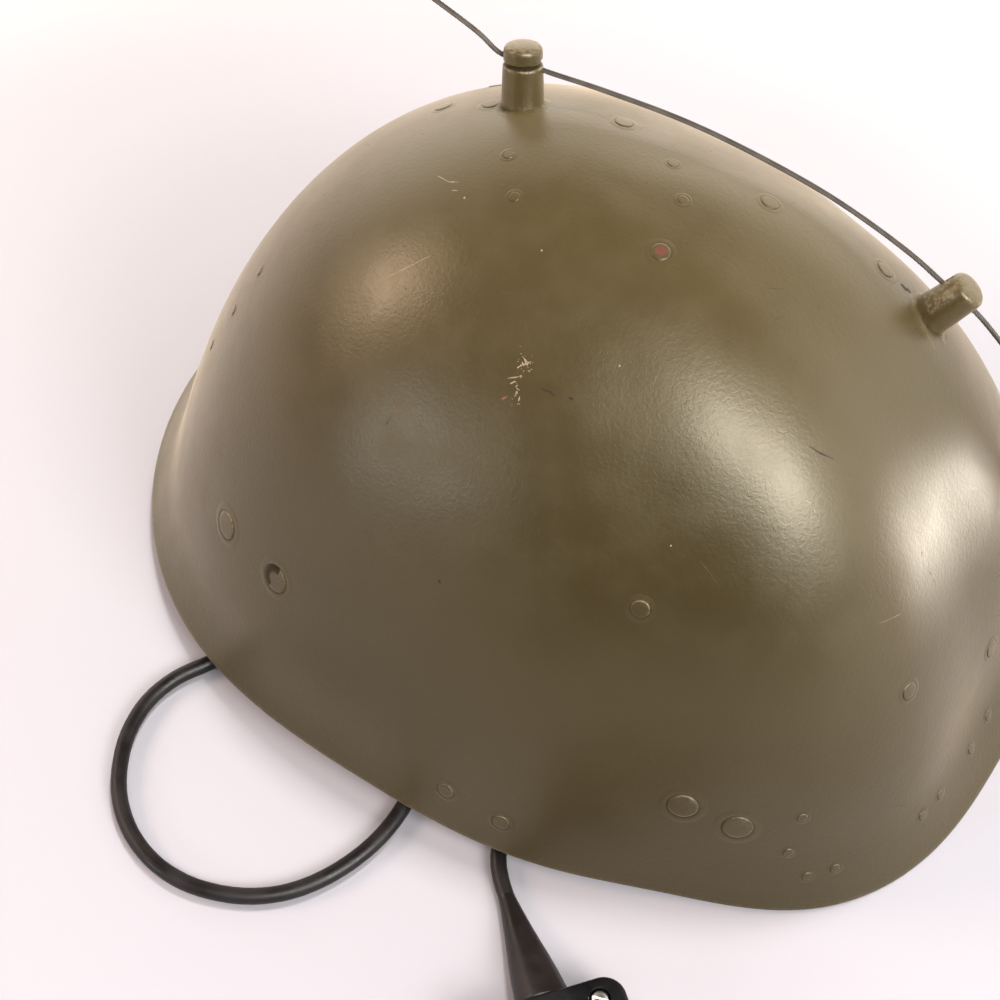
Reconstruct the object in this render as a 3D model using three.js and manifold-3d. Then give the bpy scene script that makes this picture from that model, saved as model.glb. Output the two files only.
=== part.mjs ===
// Radio operator helmet: a deep drawn steel shell with an antenna wire on posts and a switch cable.
// Millimetres, +Z up, +X towards the front of the shell, +Y towards the wearer's left.

import * as THREE from 'three';
import { mergeVertices } from 'three/addons/utils/BufferGeometryUtils.js';
import Module from 'manifold-3d';

const wasm = await Module();
wasm.setup();

// Shell
const WALL = 1.2;
const CROWN_HEIGHT = 151.2;
const DOME_FLOOR = -10.4;
const DOME_POWER = 1.4;
const CREASE_HEIGHT = 20;
const CROWN_SHIFT = -2.1;
const FULLNESS = { side: 0.05, front: 0.54, rear: 0.26 };
// Rim radius, rim height and flare by azimuth from the front, the same on both sides
const RIM = [
  { azimuth: 0, radius: 148.5, height: 0, flare: 11.3 },
  { azimuth: 15, radius: 150.3, height: 0, flare: 8.5 },
  { azimuth: 30, radius: 145, height: 0.5, flare: 7.4 },
  { azimuth: 45, radius: 129.4, height: 2.6, flare: 5 },
  { azimuth: 60, radius: 121, height: 5.6, flare: 4 },
  { azimuth: 90, radius: 113.5, height: 10, flare: 3.6 },
  { azimuth: 120, radius: 122, height: 8.5, flare: 5.7 },
  { azimuth: 150, radius: 133, height: 3, flare: 9.8 },
  { azimuth: 180, radius: 138.7, height: 0, flare: 13.5 },
];
const SHELL_SIDES = 48;
const DOME_RINGS = 12;
const FLARE_RINGS = 2;

// Fit between pieces
const GAP = 0.3;
const HEAD_GAP = 0.35;
const CLINCH_GAP = 0.45;
const SHANK_GAP = 0.4;
const WIRE_GAP = 0.35;

// Rivets: down is 0 at the crown, 100 at the crease and 200 at the rim edge
const RIVET_SIZES = {
  large: { head: 4, top: 3.7, edge: 0.55, height: 0.9, shank: 1.9, clinch: 3, sides: 10 },
  medium: { head: 2.4, height: 0.7, shank: 1.2, clinch: 1.9, sides: 8 },
  small: { head: 1.45, height: 0.5, shank: 0.8, clinch: 0, sides: 8 },
};
const RIVETS = [
  { name: 'rear_pair_right_1', size: 'large', azimuth: -124, down: 71.6, mirrored: true },
  { name: 'rear_pair_right_2', size: 'large', azimuth: -110.9, down: 70.5, mirrored: true },
  { name: 'front_pair_right_1', size: 'large', azimuth: -43.7, down: 81.9, mirrored: true },
  { name: 'front_pair_right_2', size: 'large', azimuth: -37.6, down: 85.5, mirrored: true },
  { name: 'dome_right', size: 'medium', azimuth: -48.2, down: 54.7, mirrored: true },
  { name: 'brow_right', size: 'medium', azimuth: -15.6, down: 71.5 },
  { name: 'brow_middle', size: 'medium', azimuth: 2.9, down: 84.2 },
  { name: 'side_low_right_1', size: 'medium', azimuth: -75.4, down: 93.5, mirrored: true },
  { name: 'side_low_right_2', size: 'medium', azimuth: -67, down: 110, mirrored: true },
  { name: 'crown_left_1', size: 'medium', azimuth: 97.4, down: 14.4 },
  { name: 'crown_left_2', size: 'medium', azimuth: 29.5, down: 22 },
  { name: 'crown_primer', size: 'medium', azimuth: -20.5, down: 14 },
  { name: 'crown_rear_1', size: 'medium', azimuth: 165.1, down: 29.3 },
  { name: 'crown_rear_2', size: 'medium', azimuth: 158.3, down: 21.6 },
  { name: 'post_side', size: 'medium', azimuth: 25, down: 37.2 },
  { name: 'crown_rear_3', size: 'medium', azimuth: 145, down: 33.7 },
  { name: 'cheek_right_1', size: 'small', azimuth: -30.6, down: 83.9 },
  { name: 'cheek_right_2', size: 'small', azimuth: -32.2, down: 93.4 },
  { name: 'flare_right_1', size: 'small', azimuth: -27.2, down: 130.4 },
  { name: 'flare_right_2', size: 'small', azimuth: -30.3, down: 135.3 },
  { name: 'flare_front_1', size: 'small', azimuth: 0.2, down: 125.4 },
  { name: 'flare_front_2', size: 'small', azimuth: -4.7, down: 128.8 },
  { name: 'flare_front_3', size: 'small', azimuth: -12, down: 123.3 },
  { name: 'flare_front_4', size: 'small', azimuth: -15.4, down: 123.1 },
  { name: 'crown_small_1', size: 'small', azimuth: -167.4, down: 10.2 },
  { name: 'crown_small_2', size: 'small', azimuth: -123.5, down: 10.2 },
  { name: 'crown_small_3', size: 'small', azimuth: 45.8, down: 12 },
  { name: 'crown_small_4', size: 'small', azimuth: 14.2, down: 11.7 },
  { name: 'rear_small_1', size: 'small', azimuth: -155.8, down: 51.4 },
  { name: 'rear_small_2', size: 'small', azimuth: -153.6, down: 58.1 },
  { name: 'rear_small_3', size: 'small', azimuth: -153.8, down: 66.1 },
];

// Antenna posts: the wire crosses each at the share of its height given by hole
const POST = {
  foot: 5.75,
  footTop: 5.45,
  footHeight: 1.65,
  bodyStart: 1.2,
  waist: 5.2,
  waistTop: 5,
  cap: 4.75,
  capTop: 4.65,
  capFlat: 4.05,
  capEdge: 0.6,
  groove: 0.7,
  grooveWidth: 1.6,
  shank: 2.4,
  clinch: 3.8,
  clinchHeight: 1.4,
  sides: 12,
};
const POSTS = [
  { name: 'antenna_post_rear', azimuth: 150, down: 18, height: 16.6, hole: 0.71, axis: [-0.18, 0.27, 0.946] },
  { name: 'antenna_post_front', azimuth: 21.9, down: 44.2, height: 14.2, hole: 0.68, axis: [0.521, 0.326, 0.784] },
  { name: 'antenna_anchor', azimuth: 20, down: 70, height: 14, hole: 0.66, axis: null },
];

// Antenna wire, from its free end behind the rear post to just past the anchor
const WIRE_RADIUS = 0.7;
const WIRE_SIDES = 8;
const WIRE_STEPS = 46;
const WIRE_STRAIGHT = 6.5;
const WIRE_ROUTE = [
  { x: -98, y: 16.5, z: 177.5 },
  { x: -78, y: 17, z: 172 },
  { x: -58.5, y: 17.6, z: 165.8 },
  { x: -45.3, y: 18.1, z: 160.8 },
  { post: 0, heading: [0.95, 0.25, -0.2] },
  { x: -13, y: 25.2, z: 153.1 },
  { x: 10, y: 31, z: 149.3 },
  { x: 31, y: 34.7, z: 144.7 },
  { x: 51.8, y: 37, z: 139.4 },
  { x: 73.2, y: 37.4, z: 132.7 },
  { post: 1, heading: [0.915, -0.03, -0.4] },
  { x: 102.4, y: 36.6, z: 117.8 },
  { x: 112.5, y: 38.6, z: 106 },
  { x: 121, y: 41.5, z: 90 },
  { post: 2, heading: [0.1, 0.18, -0.98] },
];

// Cable gland on the inside of the left wall, along the wall's own normal, depths from the outer face
const GLAND = {
  azimuth: 88,
  down: 90,
  shank: 3,
  flange: 6,
  flangeTop: 1.95,
  flangeBottom: 4.4,
  barrel: 4.6,
  mouth: 3.6,
  mouthLength: 4,
  length: 18,
  button: 4,
  buttonTop: 3.6,
  buttonHeight: 1,
  sides: 12,
};

// Cable route after the gland, round cord lying on the surface
const CABLE_RADIUS = 2.3;
const CABLE_SIDES = 8;
const CABLE_STEPS = 60;
const CABLE_STRAIGHT = 14;
const CABLE_ROUTE = [
  { x: 2, y: 64, z: 20.5 },
  { x: -1, y: 49, z: 14 },
  { x: -5, y: 34, z: 7.5 },
  { x: -10, y: 19, z: 3.6 },
  { x: -16, y: 3, z: 2.5 },
  { x: -23, y: -14, z: 2.5 },
  { x: -31, y: -33, z: 2.5 },
  { x: -39, y: -53, z: 2.5 },
  { x: -47, y: -73, z: 2.5 },
  { x: -54.4, y: -91, z: 2.5 },
  { x: -60.3, y: -105, z: 2.5 },
  { x: -65.3, y: -114.8, z: 2.5 },
  { x: -67.1, y: -125.4, z: 2.5 },
  { x: -64.8, y: -137, z: 2.5 },
  { x: -59.1, y: -147.3, z: 2.5 },
  { x: -52.4, y: -154.6, z: 2.5 },
  { x: -43.3, y: -160.3, z: 2.5 },
  { x: -32.5, y: -163.4, z: 2.5 },
  { x: -21.8, y: -163.3, z: 2.5 },
  { x: -11.5, y: -160.3, z: 2.5 },
  { x: -3.2, y: -155.8, z: 2.5 },
  { x: 4.2, y: -149, z: 2.5 },
  { x: 9.5, y: -140.8, z: 2.5 },
  { x: 13.2, y: -131.4, z: 2.5 },
  { x: 15.1, y: -122, z: 2.5 },
  { x: 15.2, y: -112.5, z: 2.5 },
  { x: 13.2, y: -101, z: 2.5 },
  { x: 9.6, y: -89, z: 2.5 },
  { x: 8.2, y: -77, z: 2.5 },
  { x: 12.3, y: -65, z: 2.5 },
  { x: 22, y: -58.4, z: 2.5 },
  { x: 33.5, y: -59.6, z: 2.5 },
  { x: 42, y: -67.5, z: 2.5 },
  { x: 44.8, y: -79, z: 2.5 },
  { x: 43.6, y: -92, z: 2.5 },
  { x: 43.2, y: -101, z: 2.5 },
  { x: 45.8, y: -108.5, z: 2.5 },
  { x: 50.2, y: -113.7, z: 2.5 },
];

// Cable end: strain relief along the heading, then the switch box
const END = { x: 54.6, y: -117.4, headingX: 0.778, headingY: -0.629, clear: 0.4, lift: 0.3 };
const RELIEF_SIDES = 12;
const RELIEF = [
  { along: 0, radius: 2.75, centre: 2.9 },
  { along: 6, radius: 3.2, centre: 3.7 },
  { along: 12, radius: 4, centre: 4.6 },
  { along: 18, radius: 5, centre: 5.5 },
  { along: 24, radius: 6.2, centre: 6.4 },
  { along: 31, radius: 7.2, centre: 7.3 },
];
const BOX = { width: 41, length: 58, height: 14.6, corner: 6.5, edge: 1, cornerSteps: 5 };
const SCREW = {
  fromEnd: 5.8,
  fromMiddle: 13.4,
  head: 2.3,
  headHeight: 1.5,
  crown: 0.5,
  crownRadius: 1.38,
  crownLift: 0.125,
  shank: 1.1,
  length: 6,
  slotWidth: 0.8,
  slotDepth: 0.9,
  recess: 2.85,
  recessDepth: 1.8,
  sides: 16,
};

const DRILL_SIDES = 8;

// Materials
const paint = new THREE.MeshStandardMaterial({ color: 0x4d4330, roughness: 0.45, metalness: 0.35 });
const rivetPaint = new THREE.MeshStandardMaterial({ color: 0x54492f, roughness: 0.5, metalness: 0.4 });
const wornBrass = new THREE.MeshStandardMaterial({ color: 0x6a5836, roughness: 0.5, metalness: 0.6 });
const darkSteel = new THREE.MeshStandardMaterial({ color: 0x544a3e, roughness: 0.45, metalness: 0.8 });
const blackRubber = new THREE.MeshStandardMaterial({ color: 0x1c1b1b, roughness: 0.6, metalness: 0 });
const blackPlastic = new THREE.MeshStandardMaterial({ color: 0x1f1e1e, roughness: 0.5, metalness: 0 });
const brightSteel = new THREE.MeshStandardMaterial({ color: 0xb4b2ac, roughness: 0.3, metalness: 1 });

const radians = THREE.MathUtils.degToRad;
const clamp = THREE.MathUtils.clamp;

// Slopes of the cubic through the rim table, level at both ends
function rimSlopes(column) {
  const value = RIM.map((row) => row[column]);
  const at = RIM.map((row) => row.azimuth);
  const last = RIM.length - 1;
  const slope = new Array(RIM.length).fill(0);
  const upper = [0];
  const right = [0];
  for (let i = 1; i < last; i += 1) {
    const before = at[i] - at[i - 1];
    const after = at[i + 1] - at[i];
    const middle = 2 * (1 / before + 1 / after);
    const pull = 3 * ((value[i] - value[i - 1]) / before ** 2 + (value[i + 1] - value[i]) / after ** 2);
    const pivot = middle - upper[i - 1] / before;
    upper.push(1 / after / pivot);
    right.push((pull - right[i - 1] / before) / pivot);
  }
  for (let i = last - 1; i > 0; i -= 1) {
    slope[i] = right[i] - upper[i] * slope[i + 1];
  }
  return slope;
}

const SLOPES = { radius: rimSlopes('radius'), height: rimSlopes('height'), flare: rimSlopes('flare') };

// Value of one rim column at any azimuth, in degrees
function rimAt(column, azimuth) {
  const folded = Math.abs(((azimuth + 540) % 360) - 180);
  let i = 0;
  while (i < RIM.length - 2 && folded > RIM[i + 1].azimuth) {
    i += 1;
  }
  const width = RIM[i + 1].azimuth - RIM[i].azimuth;
  const s = (folded - RIM[i].azimuth) / width;
  const from = RIM[i][column];
  const to = RIM[i + 1][column];
  const out = SLOPES[column][i] * width;
  const into = SLOPES[column][i + 1] * width;
  return (
    from * (1 + 2 * s) * (1 - s) ** 2 +
    out * s * (1 - s) ** 2 +
    to * s * s * (3 - 2 * s) +
    into * s * s * (s - 1)
  );
}

// Outer face of the shell
function outerPoint(azimuth, down) {
  const turn = radians(azimuth);
  const front = clamp(Math.cos(turn), 0, 1) ** 2;
  const rear = clamp(-Math.cos(turn), 0, 1) ** 2;
  const full = FULLNESS.side + (FULLNESS.front - FULLNESS.side) * front + (FULLNESS.rear - FULLNESS.side) * rear;
  const rise = CROWN_HEIGHT - DOME_FLOOR;
  const atCrease = 1 - ((CREASE_HEIGHT - DOME_FLOOR) / rise) ** DOME_POWER;
  const square = (-(1 - full) + Math.sqrt((1 - full) ** 2 + 4 * full * atCrease)) / (2 * full);
  const reach = Math.sin((clamp(down / 100, 0, 1) * Math.PI) / 2);
  const rho = Math.sqrt(square) * reach;
  const drop = (1 - full) * rho ** 2 + full * rho ** 4;
  const beyond = clamp(down / 100 - 1, 0, 1);
  const flare = rimAt('flare', azimuth);
  const rimHeight = Math.max(0, rimAt('height', azimuth));
  const radius = (rimAt('radius', azimuth) - flare) * reach + flare * beyond;
  const domeHeight = DOME_FLOOR + rise * (1 - drop) ** (1 / DOME_POWER);
  const height = beyond > 0 ? CREASE_HEIGHT + (rimHeight - CREASE_HEIGHT) * beyond : domeHeight;
  const shift = beyond > 0 ? 0 : CROWN_SHIFT * (1 - reach);
  return new THREE.Vector3(radius * Math.cos(turn) + shift, radius * Math.sin(turn), height);
}

// Outward normal of the outer face
function outerNormal(azimuth, down) {
  const step = 0.05;
  const place = Math.max(down, step);
  const along = outerPoint(azimuth, place + step).sub(outerPoint(azimuth, place - step));
  const around = outerPoint(azimuth + step, place).sub(outerPoint(azimuth - step, place));
  return along.cross(around).normalize();
}

// Inner face, one wall below the outer one, level with it at the rim
function innerPoint(azimuth, down) {
  const point = outerPoint(azimuth, down);
  if (down < 100) {
    return down === 0 ? point.setZ(point.z - WALL) : point.addScaledVector(outerNormal(azimuth, down), -WALL);
  }
  const flare = rimAt('flare', azimuth);
  const fall = CREASE_HEIGHT - Math.max(0, rimAt('height', azimuth));
  const across = WALL * Math.hypot(1, flare / fall);
  const turn = radians(azimuth);
  return point.sub(new THREE.Vector3(Math.cos(turn) * across, Math.sin(turn) * across, 0));
}

// Place on the flat facet of the shell's grid that covers an azimuth and a depth
function facetPlace(azimuth, down) {
  const turnStep = 360 / SHELL_SIDES;
  const downStep = 100 / (down < 100 ? DOME_RINGS : FLARE_RINGS);
  const turnFrom = Math.floor(azimuth / turnStep) * turnStep;
  const downFrom = Math.floor(down / downStep) * downStep;
  const across = (azimuth - turnFrom) / turnStep;
  const along = (down - downFrom) / downStep;
  const upper = outerPoint(turnFrom, downFrom).lerp(outerPoint(turnFrom + turnStep, downFrom), across);
  const lower = outerPoint(turnFrom, downFrom + downStep);
  lower.lerp(outerPoint(turnFrom + turnStep, downFrom + downStep), across);
  return upper.lerp(lower, along);
}

// Closed grid of the shell before its holes are cut
function shellBlank() {
  const downs = [];
  for (let i = 1; i <= DOME_RINGS; i += 1) {
    downs.push((100 * i) / DOME_RINGS);
  }
  for (let i = 1; i <= FLARE_RINGS; i += 1) {
    downs.push(100 + (100 * i) / FLARE_RINGS);
  }
  const positions = [];
  const faces = [];
  const addFace = (pointAt, flip) => {
    const pole = positions.length / 3;
    positions.push(...pointAt(0, 0).toArray());
    for (const down of downs) {
      for (let j = 0; j < SHELL_SIDES; j += 1) {
        positions.push(...pointAt((360 * j) / SHELL_SIDES, down).toArray());
      }
    }
    const at = (ring, j) => pole + 1 + ring * SHELL_SIDES + (j % SHELL_SIDES);
    const tri = (a, b, c) => faces.push(...(flip ? [a, c, b] : [a, b, c]));
    for (let j = 0; j < SHELL_SIDES; j += 1) {
      tri(pole, at(0, j), at(0, j + 1));
      for (let ring = 0; ring < downs.length - 1; ring += 1) {
        tri(at(ring, j), at(ring + 1, j), at(ring + 1, j + 1));
        tri(at(ring, j), at(ring + 1, j + 1), at(ring, j + 1));
      }
    }
    return at;
  };
  const outer = addFace(outerPoint, false);
  const inner = addFace(innerPoint, true);
  const edge = downs.length - 1;
  for (let j = 0; j < SHELL_SIDES; j += 1) {
    faces.push(outer(edge, j), inner(edge, j), inner(edge, j + 1));
    faces.push(outer(edge, j), inner(edge, j + 1), outer(edge, j + 1));
  }
  const geometry = new THREE.BufferGeometry();
  geometry.setAttribute('position', new THREE.Float32BufferAttribute(positions, 3));
  geometry.setIndex(faces);
  return geometry;
}

function toSolid(geometry) {
  const bare = geometry.clone();
  bare.deleteAttribute('normal');
  bare.deleteAttribute('uv');
  const merged = mergeVertices(bare, 1e-4);
  return new wasm.Manifold(
    new wasm.Mesh({
      numProp: 3,
      vertProperties: new Float32Array(merged.attributes.position.array),
      triVerts: new Uint32Array(merged.index.array),
    }),
  );
}

function toGeometry(solid) {
  const mesh = solid.getMesh();
  const geometry = new THREE.BufferGeometry();
  geometry.setAttribute('position', new THREE.BufferAttribute(new Float32Array(mesh.vertProperties), 3));
  geometry.setIndex(new THREE.BufferAttribute(new Uint32Array(mesh.triVerts), 1));
  return geometry;
}

// Turns a shape made along +Z so that it stands at a place along an axis
function stand(geometry, place, axis) {
  const turn = new THREE.Quaternion().setFromUnitVectors(new THREE.Vector3(0, 0, 1), axis);
  geometry.applyQuaternion(turn);
  geometry.translate(place.x, place.y, place.z);
  return geometry;
}

// Turned piece from radius and height pairs that start and end on its axis
function turned(profile, sides) {
  const points = profile.map(([radius, height]) => new THREE.Vector2(radius, height));
  return new THREE.LatheGeometry(points, sides).rotateX(Math.PI / 2);
}

function drill(radius, bottom, top, place, axis) {
  const rod = new THREE.CylinderGeometry(radius, radius, top - bottom, DRILL_SIDES);
  rod.rotateX(Math.PI / 2);
  rod.translate(0, 0, (top + bottom) / 2);
  return toSolid(stand(rod, place, axis));
}

const helmet = new THREE.Group();
const shellDrills = [];

function addPiece(name, geometry, material) {
  const mesh = new THREE.Mesh(geometry, material);
  mesh.name = name;
  helmet.add(mesh);
}

// Depth of a drill that goes through the wall with room on both sides
const THROUGH = 5;

function addRivet(name, sizeName, azimuth, down) {
  const size = RIVET_SIZES[sizeName];
  const place = facetPlace(azimuth, down);
  const axis = outerNormal(azimuth, down);
  const foot = size.clinch > 0 ? -(WALL + CLINCH_GAP) : -WALL;
  const profile = [];
  if (size.clinch > 0) {
    profile.push([0, foot - size.height], [size.clinch, foot - size.height], [size.clinch, foot]);
  } else {
    profile.push([0, foot]);
  }
  profile.push([size.shank, foot], [size.shank, HEAD_GAP], [size.head, HEAD_GAP]);
  if (size.top) {
    profile.push([size.top, HEAD_GAP + size.edge]);
  }
  profile.push([0, HEAD_GAP + size.height]);
  addPiece(name, stand(turned(profile, size.sides), place, axis), rivetPaint);
  shellDrills.push(drill(size.shank + GAP, -THROUGH, THROUGH, place, axis));
}

for (const rivet of RIVETS) {
  addRivet(`rivet_${rivet.name}`, rivet.size, rivet.azimuth, rivet.down);
  if (rivet.mirrored) {
    const name = rivet.name.replace('right', 'left');
    addRivet(`rivet_${name}`, rivet.size, -rivet.azimuth, rivet.down);
  }
}

// Posts: places of their wire holes come first, so that the wire can be drawn through them
for (const post of POSTS) {
  post.place = facetPlace(post.azimuth, post.down);
  post.normal = outerNormal(post.azimuth, post.down);
  post.up = post.axis ? new THREE.Vector3(...post.axis).normalize() : post.normal.clone();
  post.centre = post.place.clone().addScaledVector(post.up, post.height * post.hole);
}

const wirePoints = WIRE_ROUTE.flatMap((row) => {
  if (row.post === undefined) {
    return [new THREE.Vector3(row.x, row.y, row.z)];
  }
  const { centre } = POSTS[row.post];
  const heading = new THREE.Vector3(...row.heading).normalize();
  return [-WIRE_STRAIGHT, 0, WIRE_STRAIGHT].map((far) => centre.clone().addScaledVector(heading, far));
});
const wirePath = new THREE.CatmullRomCurve3(wirePoints, false, 'centripetal');

function ring(radius, sides) {
  const shape = new THREE.Shape();
  for (let i = 0; i < sides; i += 1) {
    const turn = (2 * Math.PI * (i + 0.5)) / sides;
    const put = i === 0 ? 'moveTo' : 'lineTo';
    shape[put](radius * Math.cos(turn), radius * Math.sin(turn));
  }
  shape.closePath();
  return shape;
}

function tube(path, radius, sides, steps) {
  return new THREE.ExtrudeGeometry(ring(radius, sides), { steps, extrudePath: path, bevelEnabled: false });
}

for (const row of WIRE_ROUTE.filter((step) => step.post !== undefined)) {
  const post = POSTS[row.post];
  const waist = post.height * post.hole - POST.grooveWidth / 2;
  const footProfile = [
    [0, -(WALL + CLINCH_GAP + POST.clinchHeight)],
    [POST.clinch, -(WALL + CLINCH_GAP + POST.clinchHeight)],
    [POST.clinch, -(WALL + CLINCH_GAP)],
    [POST.shank, -(WALL + CLINCH_GAP)],
    [POST.shank, HEAD_GAP],
    [POST.foot, HEAD_GAP],
    [POST.footTop, HEAD_GAP + POST.footHeight],
    [0, HEAD_GAP + POST.footHeight],
  ];
  const bodyProfile = [
    [0, POST.bodyStart],
    [POST.waist, POST.bodyStart],
    [POST.waistTop, waist],
    [POST.cap - POST.groove, waist],
    [POST.cap - POST.groove, waist + POST.grooveWidth],
    [POST.cap, waist + POST.grooveWidth],
    [POST.capTop, post.height - POST.capEdge],
    [POST.capFlat, post.height],
    [0, post.height],
  ];
  const foot = toSolid(stand(turned(footProfile, POST.sides), post.place, post.normal));
  const body = toSolid(stand(turned(bodyProfile, POST.sides), post.place, post.up)).add(foot);
  const along = new THREE.Vector3(...row.heading).normalize();
  const hole = drill(WIRE_RADIUS + WIRE_GAP, -2 * POST.foot, 2 * POST.foot, post.centre, along);
  addPiece(post.name, toGeometry(body.subtract(hole)), wornBrass);
  shellDrills.push(drill(POST.shank + SHANK_GAP, -THROUGH, THROUGH, post.place, post.normal));
}

addPiece('antenna_wire', tube(wirePath, WIRE_RADIUS, WIRE_SIDES, WIRE_STEPS), darkSteel);

// Gland: lies along the inward normal, its button outside and its mouth inside
const glandPlace = facetPlace(GLAND.azimuth, GLAND.down);
const glandAxis = outerNormal(GLAND.azimuth, GLAND.down);
const glandProfile = [
  [0, -GLAND.length],
  [GLAND.mouth, -GLAND.length],
  [GLAND.barrel, GLAND.mouthLength - GLAND.length],
  [GLAND.barrel, -GLAND.flangeBottom],
  [GLAND.flange, -GLAND.flangeBottom],
  [GLAND.flange, -GLAND.flangeTop],
  [GLAND.shank, -GLAND.flangeTop],
  [GLAND.shank, HEAD_GAP],
  [GLAND.button, HEAD_GAP],
  [GLAND.buttonTop, HEAD_GAP + GLAND.buttonHeight],
  [0, HEAD_GAP + GLAND.buttonHeight],
];
addPiece('cable_gland', stand(turned(glandProfile, GLAND.sides), glandPlace, glandAxis), blackPlastic);
shellDrills.push(drill(GLAND.shank + SHANK_GAP, -THROUGH, THROUGH, glandPlace, glandAxis));

// Cable: leaves the mouth straight, then follows its route to the strain relief
const cableStart = glandPlace.clone().addScaledVector(glandAxis, -(GLAND.length + HEAD_GAP));
const cablePoints = [
  cableStart,
  cableStart.clone().addScaledVector(glandAxis, -CABLE_STRAIGHT / 2),
  cableStart.clone().addScaledVector(glandAxis, -CABLE_STRAIGHT),
  ...CABLE_ROUTE.map((row) => new THREE.Vector3(row.x, row.y, row.z)),
  new THREE.Vector3(END.x - END.headingX * END.clear, END.y - END.headingY * END.clear, CABLE_RADIUS + END.lift),
];
const cablePath = new THREE.CatmullRomCurve3(cablePoints, false, 'centripetal');
addPiece('cable', tube(cablePath, CABLE_RADIUS, CABLE_SIDES, CABLE_STEPS), blackRubber);

// Strain relief: upright rings whose centres climb, so that it lies on the surface
function reliefBlank() {
  const positions = [];
  const faces = [];
  RELIEF.forEach((row) => {
    const x = END.x + END.headingX * row.along;
    const y = END.y + END.headingY * row.along;
    for (let i = 0; i < RELIEF_SIDES; i += 1) {
      const turn = (2 * Math.PI * (i + 0.5)) / RELIEF_SIDES;
      const side = row.radius * Math.cos(turn);
      positions.push(x - END.headingY * side, y + END.headingX * side, row.centre + row.radius * Math.sin(turn));
    }
  });
  for (let k = 0; k < RELIEF.length - 1; k += 1) {
    for (let i = 0; i < RELIEF_SIDES; i += 1) {
      const a = k * RELIEF_SIDES + i;
      const b = k * RELIEF_SIDES + ((i + 1) % RELIEF_SIDES);
      faces.push(a, b, b + RELIEF_SIDES, a, b + RELIEF_SIDES, a + RELIEF_SIDES);
    }
  }
  const last = (RELIEF.length - 1) * RELIEF_SIDES;
  for (let i = 1; i < RELIEF_SIDES - 1; i += 1) {
    faces.push(0, i + 1, i);
    faces.push(last, last + i, last + i + 1);
  }
  const geometry = new THREE.BufferGeometry();
  geometry.setAttribute('position', new THREE.Float32BufferAttribute(positions, 3));
  geometry.setIndex(faces);
  return geometry;
}
addPiece('strain_relief', reliefBlank(), blackRubber);

// Switch box: rounded in plan, its end face just past the strain relief
const reliefLength = RELIEF[RELIEF.length - 1].along;
const boxStart = reliefLength + GAP;

function boxSpot(along, side, height) {
  return new THREE.Vector3(
    END.x + END.headingX * along - END.headingY * side,
    END.y + END.headingY * along + END.headingX * side,
    height,
  );
}

function roundedPlan(length, width, corner, steps) {
  const shape = new THREE.Shape();
  const centres = [
    { x: length / 2 - corner, y: width / 2 - corner, from: 0 },
    { x: corner - length / 2, y: width / 2 - corner, from: 90 },
    { x: corner - length / 2, y: corner - width / 2, from: 180 },
    { x: length / 2 - corner, y: corner - width / 2, from: 270 },
  ];
  centres.forEach((centre, index) => {
    for (let i = 0; i <= steps; i += 1) {
      const turn = radians(centre.from + (90 * i) / steps);
      const put = index === 0 && i === 0 ? 'moveTo' : 'lineTo';
      shape[put](centre.x + corner * Math.cos(turn), centre.y + corner * Math.sin(turn));
    }
  });
  shape.closePath();
  return shape;
}

const boxPlan = roundedPlan(
  BOX.length - 2 * BOX.edge,
  BOX.width - 2 * BOX.edge,
  BOX.corner - BOX.edge,
  BOX.cornerSteps,
);
const boxBlank = new THREE.ExtrudeGeometry(boxPlan, {
  depth: BOX.height - 2 * BOX.edge,
  bevelEnabled: true,
  bevelThickness: BOX.edge,
  bevelSize: BOX.edge,
  bevelSegments: 2,
});
boxBlank.translate(0, 0, BOX.edge);
boxBlank.rotateZ(Math.atan2(END.headingY, END.headingX));
const boxMiddle = boxSpot(boxStart + BOX.length / 2, 0, 0);
boxBlank.translate(boxMiddle.x, boxMiddle.y, 0);

const up = new THREE.Vector3(0, 0, 1);
const screwPlace = boxSpot(boxStart + SCREW.fromEnd, SCREW.fromMiddle, BOX.height);
const recess = drill(SCREW.recess, -SCREW.recessDepth, THROUGH, screwPlace, up);
const bore = drill(SCREW.shank + GAP, -SCREW.length - GAP, 0, screwPlace, up);
addPiece('switch_box', toGeometry(toSolid(boxBlank).subtract(recess).subtract(bore)), blackPlastic);

const seat = -SCREW.recessDepth + GAP;
const screwBlank = turned(
  [
    [0, -SCREW.length],
    [SCREW.shank, -SCREW.length],
    [SCREW.shank, seat],
    [SCREW.head, seat],
    [SCREW.head, seat + SCREW.headHeight - SCREW.crown],
    [SCREW.crownRadius, seat + SCREW.headHeight - SCREW.crownLift],
    [0, seat + SCREW.headHeight],
  ],
  SCREW.sides,
);
const slot = new THREE.BoxGeometry(3 * SCREW.head, SCREW.slotWidth, 2 * SCREW.slotDepth);
slot.translate(0, 0, seat + SCREW.headHeight);
const screwSolid = toSolid(stand(screwBlank, screwPlace, up)).subtract(toSolid(stand(slot, screwPlace, up)));
addPiece('box_screw', toGeometry(screwSolid), brightSteel);

// Shell with all its holes
const shellSolid = toSolid(shellBlank()).subtract(wasm.Manifold.union(shellDrills));
addPiece('shell', toGeometry(shellSolid), paint);

// Origin under the middle of the helmet, on the surface that it stands on
const frontReach = outerPoint(0, 200).x;
const rearReach = outerPoint(180, 200).x;
helmet.position.x = -(frontReach + rearReach) / 2;

const part = new THREE.Group();
part.add(helmet);

export default part;
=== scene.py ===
import math
from collections import namedtuple

import bmesh
import bpy
import numpy as np
from mathutils import Matrix, Vector
from mathutils.bvhtree import BVHTree


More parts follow.
